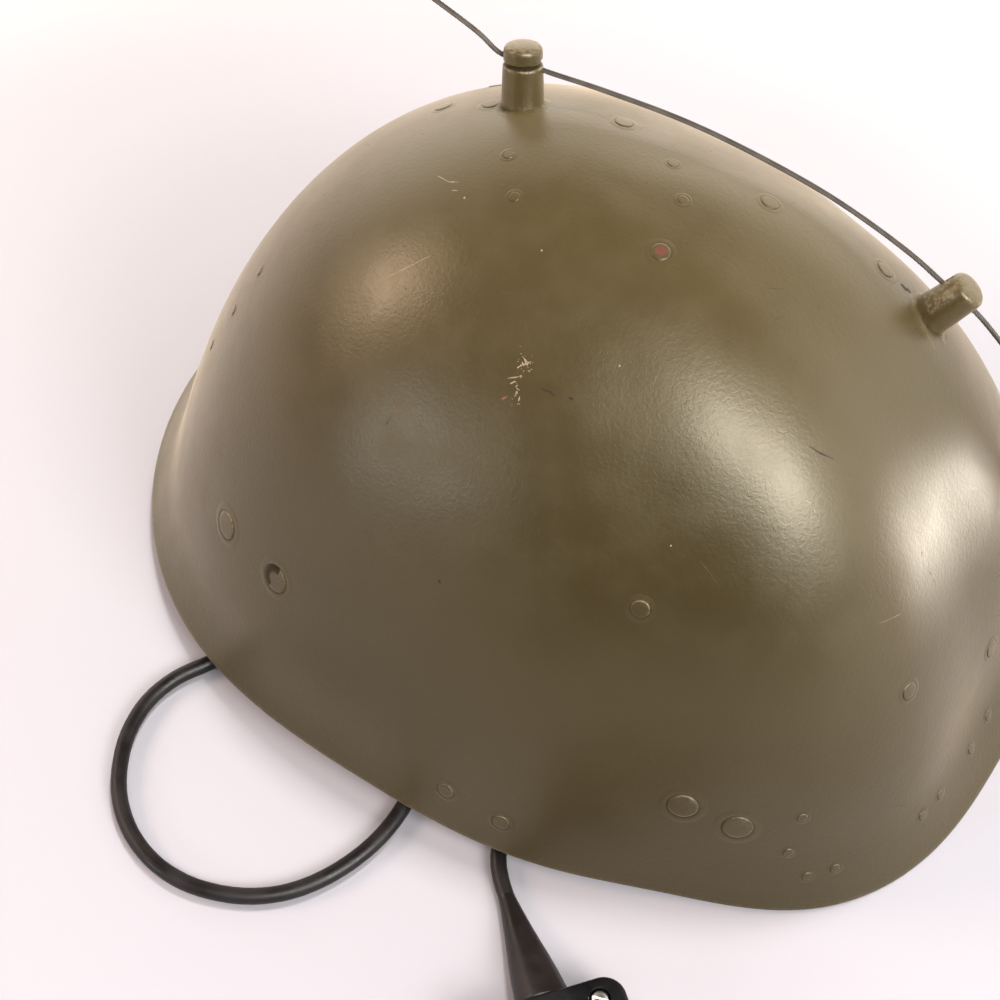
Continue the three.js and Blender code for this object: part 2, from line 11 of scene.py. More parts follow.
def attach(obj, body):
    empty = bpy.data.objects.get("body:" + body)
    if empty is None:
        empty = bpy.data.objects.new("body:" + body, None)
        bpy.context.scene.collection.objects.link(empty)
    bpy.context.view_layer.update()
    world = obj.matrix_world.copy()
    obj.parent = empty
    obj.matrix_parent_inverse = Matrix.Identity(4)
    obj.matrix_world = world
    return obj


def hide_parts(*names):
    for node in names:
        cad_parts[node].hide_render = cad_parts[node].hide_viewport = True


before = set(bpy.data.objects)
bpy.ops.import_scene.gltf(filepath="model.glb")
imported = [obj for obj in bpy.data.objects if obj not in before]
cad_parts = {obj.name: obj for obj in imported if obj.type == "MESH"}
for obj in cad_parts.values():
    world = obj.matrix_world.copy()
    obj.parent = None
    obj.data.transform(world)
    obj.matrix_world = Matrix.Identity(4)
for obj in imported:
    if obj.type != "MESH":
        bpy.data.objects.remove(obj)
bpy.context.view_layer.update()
scene = bpy.context.scene
MM = 0.001

# Row frame from the helmet's own axis: the middle of its length is 4.9 mm in front of the crown's axis
SHIFT = np.array([-4.9, 0.0, 0.0])

# Shell sizes in millimetres, the same as the CAD ones
WALL = 1.2
CROWN_HEIGHT = 151.2
DOME_FLOOR = -10.4
DOME_POWER = 1.4
CREASE_HEIGHT = 20.0
CROWN_SHIFT = -2.1
FULL_SIDE, FULL_FRONT, FULL_REAR = 0.05, 0.54, 0.26
# azimuth, rim radius, rim height, flare
RIM_ROWS = [
    (0, 148.5, 0, 11.3),
    (15, 150.3, 0, 8.5),
    (30, 145, 0.5, 7.4),
    (45, 129.4, 2.6, 5),
    (60, 121, 5.6, 4),
    (90, 113.5, 10, 3.6),
    (120, 122, 8.5, 5.7),
    (150, 133, 3, 9.8),
    (180, 138.7, 0, 13.5),
]
RIM = np.array(RIM_ROWS)


def unit(vectors):
    """The vector, or each row of vectors, at length one."""
    return vectors / np.linalg.norm(vectors, axis=-1, keepdims=True)


def swing(a, b, turn):
    """Direction at a turn from a towards b."""
    return a * math.cos(turn) + b * math.sin(turn)


def arc_along(line):
    """Length along a line up to each of its points."""
    return np.concatenate([[0], np.cumsum(np.linalg.norm(np.diff(line, axis=0), axis=1))])


def pairs(count):
    """Each number of a closed ring with the next one."""
    return [(i, (i + 1) % count) for i in range(count)]


def clamped_slopes(x, y):
    """Slopes of the cubic through the points, level at both ends."""
    n = len(x)
    h = np.diff(x)
    a = np.eye(n)
    b = np.zeros(n)
    for i in range(1, n - 1):
        a[i, i - 1] = 1 / h[i - 1]
        a[i, i] = 2 * (1 / h[i - 1] + 1 / h[i])
        a[i, i + 1] = 1 / h[i]
        b[i] = 3 * ((y[i] - y[i - 1]) / h[i - 1] ** 2 + (y[i + 1] - y[i]) / h[i] ** 2)
    return np.linalg.solve(a, b)


SLOPES = [clamped_slopes(RIM[:, 0], RIM[:, c]) for c in range(4)]


def rim_at(column, azimuth):
    """One column of the rim table at any azimuth, in degrees."""
    folded = np.abs((np.asarray(azimuth, float) + 180) % 360 - 180)
    i = np.clip(np.searchsorted(RIM[:, 0], folded, side="right") - 1, 0, len(RIM) - 2)
    width = RIM[i + 1, 0] - RIM[i, 0]
    s = (folded - RIM[i, 0]) / width
    y, m = RIM[:, column], SLOPES[column]
    return (
        y[i] * (1 + 2 * s) * (1 - s) ** 2
        + m[i] * width * s * (1 - s) ** 2
        + y[i + 1] * s * s * (3 - 2 * s)
        + m[i + 1] * width * s * s * (s - 1)
    )


def outer(azimuth, down):
    """Outer face: down is 0 at the crown, 100 at the crease, 200 at the rim edge."""
    azimuth, down = np.broadcast_arrays(np.asarray(azimuth, float), np.asarray(down, float))
    turn = np.radians(azimuth)
    front = np.clip(np.cos(turn), 0, 1) ** 2
    rear = np.clip(-np.cos(turn), 0, 1) ** 2
    full = FULL_SIDE + (FULL_FRONT - FULL_SIDE) * front + (FULL_REAR - FULL_SIDE) * rear
    rise = CROWN_HEIGHT - DOME_FLOOR
    at_crease = 1 - ((CREASE_HEIGHT - DOME_FLOOR) / rise) ** DOME_POWER
    square = (np.sqrt((1 - full) ** 2 + 4 * full * at_crease) - (1 - full)) / (2 * full)
    reach = np.sin(np.clip(down / 100, 0, 1) * math.pi / 2)
    rho = np.sqrt(square) * reach
    drop = (1 - full) * rho**2 + full * rho**4
    beyond = np.clip(down / 100 - 1, 0, 1)
    flare = rim_at(3, azimuth)
    rim_height = np.maximum(0, rim_at(2, azimuth))
    radius = (rim_at(1, azimuth) - flare) * reach + flare * beyond
    dome = DOME_FLOOR + rise * (1 - drop) ** (1 / DOME_POWER)
    height = np.where(beyond > 0, CREASE_HEIGHT + (rim_height - CREASE_HEIGHT) * beyond, dome)
    shift = np.where(beyond > 0, 0, CROWN_SHIFT * (1 - reach))
    return np.stack([radius * np.cos(turn) + shift, radius * np.sin(turn), height], axis=-1)


def frame_at(azimuth, down):
    """Place and outward normal of the outer face, the tangent around it and the one up it."""
    step = 0.05
    place = outer(azimuth, down)
    around = outer(azimuth + step, down) - outer(azimuth - step, down)
    along = outer(azimuth, down + step) - outer(azimuth, down - step)
    normal = unit(np.cross(along, around))
    u = unit(around)
    return place, normal, u, np.cross(normal, u)


def row(points):
    """Millimetres in the helmet's axes to metres in the row frame."""
    return (np.asarray(points, float) + SHIFT) * MM


def dress(piece, node=None):
    """Rides a piece on the part's one body and hides the CAD node that it stands for."""
    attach(piece, "root")
    if node:
        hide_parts(node)


def new_mesh(name, points, faces, material, smooth=True, **layers):
    """Mesh from points in metres; each layer holds one number per point for the paint."""
    mesh = bpy.data.meshes.new(name)
    mesh.from_pydata([tuple(p) for p in points], [], [tuple(f) for f in faces])
    mesh.update()
    if smooth:
        mesh.polygons.foreach_set("use_smooth", [True] * len(mesh.polygons))
    for key, values in layers.items():
        layer = mesh.attributes.new(key, "FLOAT", "POINT")
        layer.data.foreach_set("value", np.asarray(values, dtype=np.float32))
    obj = bpy.data.objects.new(name, mesh)
    mesh.materials.append(material)
    scene.collection.objects.link(obj)
    return obj


def face_out(obj):
    """Turns every face of a closed piece outwards."""
    bm = bmesh.new()
    bm.from_mesh(obj.data)
    bmesh.ops.recalc_face_normals(bm, faces=bm.faces)
    bm.to_mesh(obj.data)
    bm.free()


def cut(obj, cutter):
    """Takes a closed cutter out of a closed piece and removes the cutter."""
    face_out(cutter)
    modifier = obj.modifiers.new("cut", "BOOLEAN")
    modifier.operation = "DIFFERENCE"
    modifier.solver = "EXACT"
    modifier.object = cutter
    bpy.context.view_layer.objects.active = obj
    bpy.ops.object.modifier_apply(modifier=modifier.name)
    bpy.data.objects.remove(cutter)


def grid_faces(rows, columns, flip=False):
    """Quads of a grid of rows by columns, closed around the columns."""
    faces = []
    for i in range(rows - 1):
        for j, k in pairs(columns):
            quad = (i * columns + j, (i + 1) * columns + j, (i + 1) * columns + k, i * columns + k)
            faces.append(quad[::-1] if flip else quad)
    return faces


def shifted(faces, offset):
    """Faces with their corners counted from an offset."""
    return [tuple(corner + offset for corner in face) for face in faces]


def close_ends(points, columns, first, last):
    """Adds a point at each end of a grid of points and returns the faces of the closed piece."""
    rows = len(points) // columns
    base = (rows - 1) * columns
    points += [first, last]
    faces = grid_faces(rows, columns)
    faces += [(len(points) - 2, i, j) for i, j in pairs(columns)]
    faces += [(len(points) - 1, base + j, base + i) for i, j in pairs(columns)]
    return faces


# Camera: degrees it looks down, turn of the helmet, distance and pixel of the helmet's own origin
CAMERA_PITCH = 54.5
HELMET_YAW = 34.0
CAMERA_DISTANCE = 571.4
FOCAL_PIXELS = 1804.0
ORIGIN_PIXEL = (570.25, 520.34)
FRAME_PIXELS = 1000
SENSOR_WIDTH = 36.0


def make_camera():
    """Sets the camera and gives the turn from the photo's axes (right, away, up) to the helmet's."""
    pitch = math.radians(CAMERA_PITCH)
    yaw = math.radians(HELMET_YAW)
    forward = np.array([0, math.cos(pitch), -math.sin(pitch)])
    up = np.array([0, math.sin(pitch), math.cos(pitch)])
    right = np.array([1.0, 0, 0])
    beside, below = (np.array(ORIGIN_PIXEL) - FRAME_PIXELS / 2) / FOCAL_PIXELS
    unturn = np.array([[math.cos(yaw), -math.sin(yaw), 0], [math.sin(yaw), math.cos(yaw), 0], [0, 0, 1]])
    place = unturn @ (-CAMERA_DISTANCE * unit(forward + right * beside - up * below))
    data = bpy.data.cameras.new("camera")
    data.sensor_width = SENSOR_WIDTH
    data.lens = SENSOR_WIDTH * FOCAL_PIXELS / FRAME_PIXELS
    data.clip_start = 0.02
    data.clip_end = 20
    camera = bpy.data.objects.new("camera", data)
    scene.collection.objects.link(camera)
    axes = np.stack([unturn @ right, unturn @ up, -(unturn @ forward)], axis=1)
    matrix = Matrix(axes.tolist()).to_4x4()
    matrix.translation = Vector(row(place))
    camera.matrix_world = matrix
    scene.camera = camera
    return unturn


TO_HELMET = make_camera()


def to_row(direction):
    """Place or direction in the photo's axes (right, away, up), turned to the row frame."""
    return TO_HELMET @ np.array(direction, float)


class Nodes:
    """Builds a node tree and links its nodes."""

    # Numbers of the colour sockets of a Mix node
    COLOUR_A, COLOUR_B, COLOUR_RESULT = 6, 7, 2

    def __init__(self, tree):
        self.tree = tree

    def node(self, kind, values=None, **settings):
        """New node with its settings; values fills its inputs."""
        node = self.tree.nodes.new(kind)
        for key, value in settings.items():
            setattr(node, key, value)
        for key, value in (values or {}).items():
            self.fill(node.inputs[key], value)
        return node

    def fill(self, socket, value):
        """Links an input to another node's output, or sets it to a value."""
        if isinstance(value, bpy.types.NodeSocket):
            self.tree.links.new(value, socket)
        else:
            socket.default_value = value

    def ramp(self, source, low, high, to_low=0.0, to_high=1.0):
        """Smooth step from to_low to to_high as the source goes from low to high."""
        values = {"Value": source, "From Min": low, "From Max": high, "To Min": to_low, "To Max": to_high}
        return self.node("ShaderNodeMapRange", values, interpolation_type="SMOOTHSTEP").outputs["Result"]

    def math(self, operation, *values, clamp=False):
        values = dict(enumerate(values))
        return self.node("ShaderNodeMath", values, operation=operation, use_clamp=clamp).outputs["Value"]

    def measure(self, operation, source, vector):
        """Number from a place or direction and a fixed vector, such as their distance."""
        values = {0: source, 1: vector}
        return self.node("ShaderNodeVectorMath", values, operation=operation).outputs["Value"]


class Shader(Nodes):
    """Node tree of a material with a Principled surface; its textures lie on the piece's own axes."""

    def __init__(self, name, **values):
        self.material = bpy.data.materials.new(name)
        self.material.use_nodes = True
        super().__init__(self.material.node_tree)
        self.surface = self.tree.nodes["Principled BSDF"]
        for key, value in values.items():
            self.set(key.replace("_", " "), value)
        self.place = self.node("ShaderNodeTexCoord").outputs["Object"]

    def set(self, key, value):
        self.fill(self.surface.inputs[key], value)

    def noise(self, scale, detail, rough, distortion=0.0):
        values = {"Scale": scale, "Detail": detail, "Roughness": rough, "Distortion": distortion}
        return self.node("ShaderNodeTexNoise", {"Vector": self.place, **values}).outputs["Fac"]

    def mix(self, factor, a, b):
        """Colour between a and b; a tuple is a colour of three channels."""
        a, b = ((*value, 1.0) if isinstance(value, tuple) else value for value in (a, b))
        values = {"Factor": factor, self.COLOUR_A: a, self.COLOUR_B: b}
        return self.node("ShaderNodeMix", values, data_type="RGBA").outputs[self.COLOUR_RESULT]

    def attribute(self, name):
        return self.node("ShaderNodeAttribute", attribute_name=name).outputs["Fac"]

    def bump(self, height, distance, strength, onto=None):
        values = {"Height": height, "Distance": distance, "Strength": strength}
        if onto is not None:
            values["Normal"] = onto
        return self.node("ShaderNodeBump", values).outputs["Normal"]


# Olive drab paint, its mottle and faded specks, dust on top with painted light from above, dirt in cracks
# with painted shade, worn metal with painted highlights, primer
PAINT_DARK = (0.035, 0.0235, 0.0045)
PAINT_LIGHT = (0.0415, 0.0285, 0.0065)
PAINT_MOTTLE = (0.058, 0.043, 0.0145)
PAINT_FADED = (0.09, 0.072, 0.042)
DUST_AND_TOP_LIGHT = (0.125, 0.094, 0.043)
CRACK_DIRT_AND_SHADE = (0.018, 0.014, 0.009)
WORN_METAL_AND_HIGHLIGHT = (0.3, 0.26, 0.17)
PRIMER = (0.125, 0.042, 0.03)
SHEEN_TINT = (1.0, 0.82, 0.58, 1.0)
SPECULAR_TINT = (1.0, 0.95, 0.78, 1.0)


def tinted(colour, tint):
    return tuple(channel * tint for channel in colour)


def paint_material(name, tint=1.0, primer=False):
    """Worn paint; three attributes of a mesh place the dark crack colour (dirt and painted shade), the
    pale worn colour (worn metal and painted highlights) and primer.
    """
    s = Shader(name, IOR=1.5, Roughness=0.4, Sheen_Weight=0.4, Sheen_Roughness=0.36)
    s.set("Sheen Tint", SHEEN_TINT)
    s.set("Specular Tint", SPECULAR_TINT)
    broad = s.noise(9, 3, 0.5)
    mottled = s.noise(60, 4, 0.6)
    fine = s.noise(420, 3, 0.6)
    base = s.mix(s.ramp(broad, 0.35, 0.65), tinted(PAINT_DARK, tint), tinted(PAINT_LIGHT, tint))
    base = s.mix(s.ramp(mottled, 0.4, 0.75, 0.0, 0.22), base, tinted(PAINT_MOTTLE, tint))
    base = s.mix(s.ramp(fine, 0.6, 0.8, 0.0, 0.1), base, PAINT_FADED)
    # Dust on upward faces, which also serves as painted light from above on the crown.
    facing = s.node("ShaderNodeNewGeometry").outputs["Normal"]
    upward = s.node("ShaderNodeSeparateXYZ", {"Vector": facing}).outputs["Z"]
    dust_and_top_light = s.ramp(upward, 0.45, 1.0, 0.0, 0.42)
    base = s.mix(s.math("MULTIPLY", dust_and_top_light, s.ramp(mottled, 0.2, 0.8, 0.8, 1.0)), base, DUST_AND_TOP_LIGHT)
    rough = s.ramp(broad, 0.3, 0.7, 0.365, 0.405)
    rough = s.math("ADD", rough, s.ramp(mottled, 0.35, 0.7, -0.03, 0.05))
    # Dark crack colour: dirt in cracks and joints, and painted shade in grooves, notches and on the unlit
    # sides of raised edges.
    crack = s.attribute("crack")
    # Pale worn colour: worn metal, and painted highlights along the rim edge, on rivet edges and on the
    # front post.
    worn = s.math("MULTIPLY", s.attribute("worn"), s.ramp(s.noise(900, 3, 0.7), 0.4, 0.62))
    base = s.mix(s.math("MULTIPLY", crack, 0.8), base, CRACK_DIRT_AND_SHADE)
    base = s.mix(s.math("MULTIPLY", worn, 0.75), base, WORN_METAL_AND_HIGHLIGHT)
    if primer:
        base = s.mix(s.attribute("bare"), base, PRIMER)
    s.set("Base Color", base)
    s.set("Roughness", s.math("ADD", rough, s.math("MULTIPLY", crack, 0.35), clamp=True))
    s.set("Specular IOR Level", s.ramp(crack, 0.0, 0.8, 0.5, 0.06))
    peel = s.ramp(s.noise(880, 2.5, 0.55, distortion=0.6), 0.3, 0.7)
    grain = s.noise(1700, 2, 0.55)
    relief = s.bump(s.math("ADD", peel, s.math("MULTIPLY", grain, 0.5)), 0.000032, 0.65)
    s.set("Normal", s.bump(s.noise(28, 2, 0.5), 0.0012, 0.25, relief))
    return s.material


ROUGH_SPREAD = 0.08


def plain_material(name, colour, roughness, metallic, bump, scale, gloss=0.5):
    """One colour with darker and lighter spots, a roughness that varies with them, and a fine bump."""
    s = Shader(name, Metallic=metallic, IOR=1.5, Specular_IOR_Level=gloss)
    spots = s.noise(scale / 12, 4, 0.6)
    lighter = tuple(min(1.0, 1.25 * c + 0.004) for c in colour)
    s.set("Base Color", s.mix(s.ramp(spots, 0.35, 0.7), tinted(colour, 0.72), lighter))
    s.set("Roughness", s.ramp(spots, 0.3, 0.7, roughness - ROUGH_SPREAD, roughness + ROUGH_SPREAD))
    s.set("Normal", s.bump(s.noise(scale, 3, 0.6), bump, 0.6))
    return s.material


PAINT = paint_material("helmet_paint")
RIVET_PAINT = paint_material("rivet_paint", 1.04, primer=True)
POST_PAINT = paint_material("post_paint", 1.6)
# name, colour, roughness, metallic, bump in metres, scale of the bump, gloss
WIRE_STEEL = plain_material("wire_steel", (0.098, 0.084, 0.068), 0.5, 0.5, 0.00003, 2500)
CABLE_RUBBER = plain_material("cable_rubber", (0.0098, 0.007, 0.0066), 0.45, 0.0, 0.00012, 1100, 0.3)
BOOT_RUBBER = plain_material("boot_rubber", (0.011, 0.0074, 0.007), 0.43, 0.0, 0.00018, 800, 0.36)
BOX_PLASTIC = plain_material("box_plastic", (0.0065, 0.0063, 0.0066), 0.34, 0.0, 0.00004, 900, 0.3)
GLAND_PLASTIC = plain_material("gland_plastic", (0.012, 0.012, 0.013), 0.45, 0.0, 0.00004, 900)
SCREW_STEEL = plain_material("screw_steel", (0.72, 0.71, 0.68), 0.3, 1.0, 0.00004, 1600)


# Shell: profiles at even steps of arc, softened at the crease, with a round rim edge
SIDES, OUTER_RINGS, EDGE_RINGS, INNER_RINGS = 300, 150, 6, 70
DOME_STEPS, FLARE_STEPS, EVEN_STEPS = 500, 120, 900
# Width of the softening and its reach each side of the crease, millimetres
CREASE_SOFT = 6.0
CREASE_REACH = 15
# Rings over which the face lifts towards the round edge, and how much paler that edge is painted, a
# painted highlight along it
TAIL_RINGS = 5
EDGE_PAINTED_HIGHLIGHT = 0.15


def soft_profiles():
    """Outer profile of each azimuth as points at even arc steps, with the crease rounded."""
    azimuths = np.arange(SIDES) * 360 / SIDES
    downs = np.concatenate([np.linspace(0, 100, DOME_STEPS)[:-1], np.linspace(100, 200, FLARE_STEPS)])
    raw = outer(azimuths[:, None], downs[None, :])
    result = np.zeros((SIDES, OUTER_RINGS + 1, 3))
    for j in range(SIDES):
        line = raw[j]
        arc = arc_along(line)
        even = np.linspace(0, arc[-1], EVEN_STEPS)
        dense = np.stack([np.interp(even, arc, line[:, c]) for c in range(3)], axis=1)
        crease = arc[DOME_STEPS - 1]
        spacing = even[1]
        reach = int(3 * CREASE_SOFT / spacing)
        kernel = np.exp(-0.5 * ((np.arange(-reach, reach + 1) * spacing) / CREASE_SOFT) ** 2)
        kernel /= kernel.sum()
        near = np.clip(1.5 - np.abs(even - crease) / CREASE_REACH, 0, 1)
        for c in range(3):
            padded = np.pad(dense[:, c], reach, mode="reflect", reflect_type="odd")
            smooth = np.convolve(padded, kernel, mode="valid")
            dense[:, c] = dense[:, c] * (1 - near) + smooth * near
        wanted = np.linspace(0, 1, OUTER_RINGS + 1) * even[-1]
        for c in range(3):
            result[j, :, c] = np.interp(wanted, even, dense[:, c])
    return result


def make_shell():
    profile = soft_profiles()
    # Outward normals of the profile points
    along = np.gradient(profile, axis=1)
    around = np.roll(profile, -1, axis=0) - np.roll(profile, 1, axis=0)
    normal = np.cross(along, around)
    length = np.linalg.norm(normal, axis=2, keepdims=True)
    normal = np.where(length > 1e-9, normal / np.maximum(length, 1e-9), [0, 0, 1.0])
    normal[:, 0] = [0, 0, 1.0]
    half = WALL / 2
    rings = []
    last = OUTER_RINGS
    top = profile.copy()
    # The outer face ends where the round edge starts
    for k in range(TAIL_RINGS):
        share = (k + 1) / TAIL_RINGS
        top[:, last - TAIL_RINGS + 1 + k, 2] += half * share**2
    for i in range(1, last + 1):
        rings.append(top[:, i])
    edge_normal = normal[:, last]
    middle = top[:, last] - edge_normal * half
    downward = unit(np.cross(around[:, last], edge_normal))
    downward *= np.where(downward[:, 2:3] > 0, -1, 1)
    for i in range(1, EDGE_RINGS):
        rings.append(middle + half * swing(edge_normal, downward, math.pi * i / EDGE_RINGS))
    picks = np.linspace(last, 1, INNER_RINGS).round().astype(int)
    for i in picks:
        rings.append(top[:, i] - normal[:, i] * WALL)
    points = list(np.concatenate(rings))
    faces = close_ends(points, SIDES, profile[0, 0], profile[0, 0] - np.array([0, 0, WALL]))
    # The edge rings are painted paler: a painted highlight along the rim.
    worn = np.zeros(len(points))
    for i in range(last - 3, last + EDGE_RINGS):
        amount = 1.0 if i >= last - 1 else 0.25
        worn[i * SIDES : (i + 1) * SIDES] = EDGE_PAINTED_HIGHLIGHT * amount
    return new_mesh("shell_steel", row(points), faces, PAINT, worn=worn, crack=0 * worn)


shell = make_shell()
dress(shell, "shell")
shell_tree = BVHTree.FromObject(shell, bpy.context.evaluated_depsgraph_get())


# Millimetres above a place from which the shell is looked for
SEARCH_HEIGHT = 8


def on_shell(place, normal, lift=0.0):
    """Nearest place of the shell's outer face along the normal, lifted off it."""
    hit = shell_tree.ray_cast(Vector(row(place + normal * SEARCH_HEIGHT)), Vector(-normal))[0]
    spot = place if hit is None else np.array(hit) / MM - SHIFT
    return spot + normal * lift


# Scratches and chips seen in the photo, and one painted highlight beside a rivet: kind, azimuth and down,
# heading from around to down, length, width
MARKS = [
    ("cream", -155, 19.5, -50, 4.2, 0.26),
    ("cream", -150.5, 18, -68, 3.4, 0.34),
    ("cream", -145, 17.5, -60, 2.0, 0.3),
    ("cream", -137.5, 16, 180, 0.6, 0.4),
    # Painted highlight beside the small crown rivet, not a scratch.
    ("cream", -122.5, 10.5, -45, 1.6, 0.45),
    ("cream", -76, 29.5, -50, 1.8, 0.35),
    ("cream", -75, 29, -30, 2.6, 0.3),
    ("cream", -75, 28, 40, 2.4, 0.3),
    ("cream", -78, 31, -25, 3.6, 0.25),
    ("cream", -75.5, 31, 140, 1.6, 0.35),
    ("cream", -74.5, 32, 95, 1.2, 0.35),
    ("cream", -73.5, 32.5, 90, 1.4, 0.3),
    ("rust", -78, 33.5, -40, 1.6, 0.6),
    ("rust", -103.5, 40, 40, 2.8, 0.3),
    ("dark", -68.5, 31, 10, 2.6, 0.4),
    ("dark", -66.5, 31, 25, 2.2, 0.3),
    ("dark", -61, 31.5, 15, 1.2, 0.6),
    ("dark", -17.5, 40.5, 64, 7.2, 0.36),
    ("dark", -7, 62, 80, 2.4, 0.25),
    ("dark", -6.5, 63.5, 90, 2.4, 0.25),
    ("dark", -7, 59.5, 130, 1.4, 0.35),
    ("faint", -8, 55.5, 68, 9.0, 0.12),
    ("dark", -82, 56.5, 20, 1.0, 0.7),
    ("dark", 24, 39.5, 95, 4.0, 1.3),
    ("dark", 21.5, 47, 120, 2.0, 0.35),
    ("white", -48, 27.5, 0, 0.5, 0.45),
    ("white", -43, 47.5, 0, 0.5, 0.4),
    ("white", -82, 14.5, 0, 0.5, 0.35),
    ("white", -22, 45, 55, 1.6, 0.24),
    ("white", -21.3, 46, 85, 1.6, 0.2),
    ("cream", -17.8, 61.2, 20, 8.0, 0.09),
    ("cream", 18, 43, 100, 4.0, 0.2),
    ("cream", 17.3, 44.5, 112, 3.4, 0.16),
    ("faint", -102.5, 43, -85, 5.5, 0.35),
    ("cream", -126.8, 30.3, -69, 15.0, 0.16),
    ("faint", -129, 41.5, 0, 3.6, 0.35),
    ("faint", -11.5, 27.5, 15, 7.5, 0.3),
    ("faint", -39, 49, 55, 9.0, 0.25),
    ("faint", -16, 54.5, 38, 9.0, 0.14),
    ("faint", -18.5, 51, 95, 10.0, 0.2),
    ("faint", 16.5, 42, 100, 4.0, 0.45),
]
MARK_COLOURS = {
    "cream": (0.3, 0.235, 0.155),
    "white": (0.36, 0.31, 0.23),
    "rust": (0.17, 0.08, 0.045),
    "dark": (0.03, 0.021, 0.009),
    "faint": (0.074, 0.056, 0.028),
}
MARK_LIFT = 0.015
MARK_STEPS = 7
HAIRLINES, PINPRICKS = 150, 70
# Specks of the rubbed patch on the right of the crown: azimuth and down, their spread, how many
SPECKS = [((-73.8, 28.6), (1.3, 0.75), 26), ((-74.6, 31.8), (0.5, 1.1), 18)]


def mark_strip(azimuth, down, turn, length, width, rng):
    """Thin strip on the shell from a place along a heading, narrow at both ends."""
    place, normal, u, v = frame_at(azimuth, down)
    ahead = u * math.cos(turn) - v * math.sin(turn)
    across = np.cross(normal, ahead)
    bend = rng.normal(0, 0.06)
    points, faces = [], []
    for i in range(MARK_STEPS):
        share = i / (MARK_STEPS - 1)
        half = width / 2 * (0.12 + math.sin(math.pi * (0.08 + 0.84 * share)) ** 0.7)
        half *= abs(1 + 0.3 * rng.normal())
        drift = 0.12 * width * rng.normal() + bend * length * share * share
        for side in (-1, 1):
            flat = place + ahead * length * share + across * (drift + side * half)
            points.append(on_shell(flat, normal, MARK_LIFT))
    for i in range(MARK_STEPS - 1):
        faces.append((2 * i, 2 * i + 1, 2 * i + 3, 2 * i + 2))
    return points, faces


def make_marks():
    rng = np.random.default_rng(11)
    found = {kind: ([], []) for kind in MARK_COLOURS}

    def add(kind, azimuth, down, turn, length, width):
        points, faces = mark_strip(azimuth, down, turn, length, width, rng)
        offset = len(found[kind][0])
        found[kind][0].extend(points)
        found[kind][1].extend(shifted(faces, offset))

    for kind, azimuth, down, heading, length, width in MARKS:
        add(kind, azimuth, down, math.radians(heading), length, width)
    for middle, spread, count in SPECKS:
        for _ in range(count):
            azimuth = middle[0] + spread[0] * rng.normal()
            down = middle[1] + spread[1] * rng.normal()
            heading = rng.uniform(0, math.pi)
            length = rng.uniform(0.2, 0.6)
            add("cream", azimuth, down, heading, length, rng.uniform(0.1, 0.2))
    # Hairlines and pinpricks all over the shell
    for _ in range(HAIRLINES):
        azimuth, down = rng.uniform(-180, 180), rng.uniform(12, 120)
        add("faint", azimuth, down, rng.uniform(0, math.pi), rng.uniform(1.5, 9), rng.uniform(0.06, 0.13))
    for _ in range(PINPRICKS):
        azimuth, down = rng.uniform(-180, 180), rng.uniform(5, 180)
        kind = "dark" if rng.uniform() < 0.6 else "faint"
        size = rng.uniform(0.15, 0.4)
        add(kind, azimuth, down, rng.uniform(0, math.pi), size, size)
    for kind, (points, faces) in found.items():
        material = plain_material("mark_" + kind, MARK_COLOURS[kind], 0.6, 0.0, 0.00003, 4000, 0.25)
        dress(new_mesh("paint_marks_" + kind, row(points), faces, material))


make_marks()


# Rivet sizes: head radius, head height, clinch radius with 0 for none, sides
RIVET_SIZES = {
    "large": (4.0, 0.42, 3.0, 40),
    "medium": (2.4, 0.36, 1.9, 28),
    "small": (1.45, 0.28, 0.0, 28),
}
# Rivets by size: name, azimuth, down, and 2 where the left side has one too
RIVETS = {
    "large": [
        ("rear_pair_right_1", -124, 71.6, 2), ("rear_pair_right_2", -110.9, 70.5, 2),
        ("front_pair_right_1", -43.7, 81.9, 2), ("front_pair_right_2", -37.6, 85.5, 2),
    ],
    "medium": [
        ("dome_right", -48.2, 54.7, 2), ("brow_right", -15.6, 71.5, 1),
        ("brow_middle", 2.9, 84.2, 1), ("side_low_right_1", -75.4, 93.5, 2),
        ("side_low_right_2", -67, 110, 2), ("crown_left_1", 97.4, 14.4, 1),
        ("crown_left_2", 29.5, 22, 1), ("crown_primer", -20.5, 14, 1),
        ("crown_rear_1", 165.1, 29.3, 1), ("crown_rear_2", 158.3, 21.6, 1),
        ("post_side", 25, 37.2, 1), ("crown_rear_3", 145, 33.7, 1),
    ],
    "small": [
        ("cheek_right_1", -30.6, 83.9, 1), ("cheek_right_2", -32.2, 93.4, 1),
        ("flare_right_1", -27.2, 130.4, 1), ("flare_right_2", -30.3, 135.3, 1),
        ("flare_front_1", 0.2, 125.4, 1), ("flare_front_2", -4.7, 128.8, 1),
        ("flare_front_3", -12, 123.3, 1), ("flare_front_4", -15.4, 123.1, 1),
        ("crown_small_1", -167.4, 10.2, 1), ("crown_small_2", -123.5, 10.2, 1),
        ("crown_small_3", 45.8, 12, 1), ("crown_small_4", 14.2, 11.7, 1),
        ("rear_small_1", -155.8, 51.4, 1), ("rear_small_2", -153.6, 58.1, 1),
        ("rear_small_3", -153.8, 66.1, 1),
    ],
}
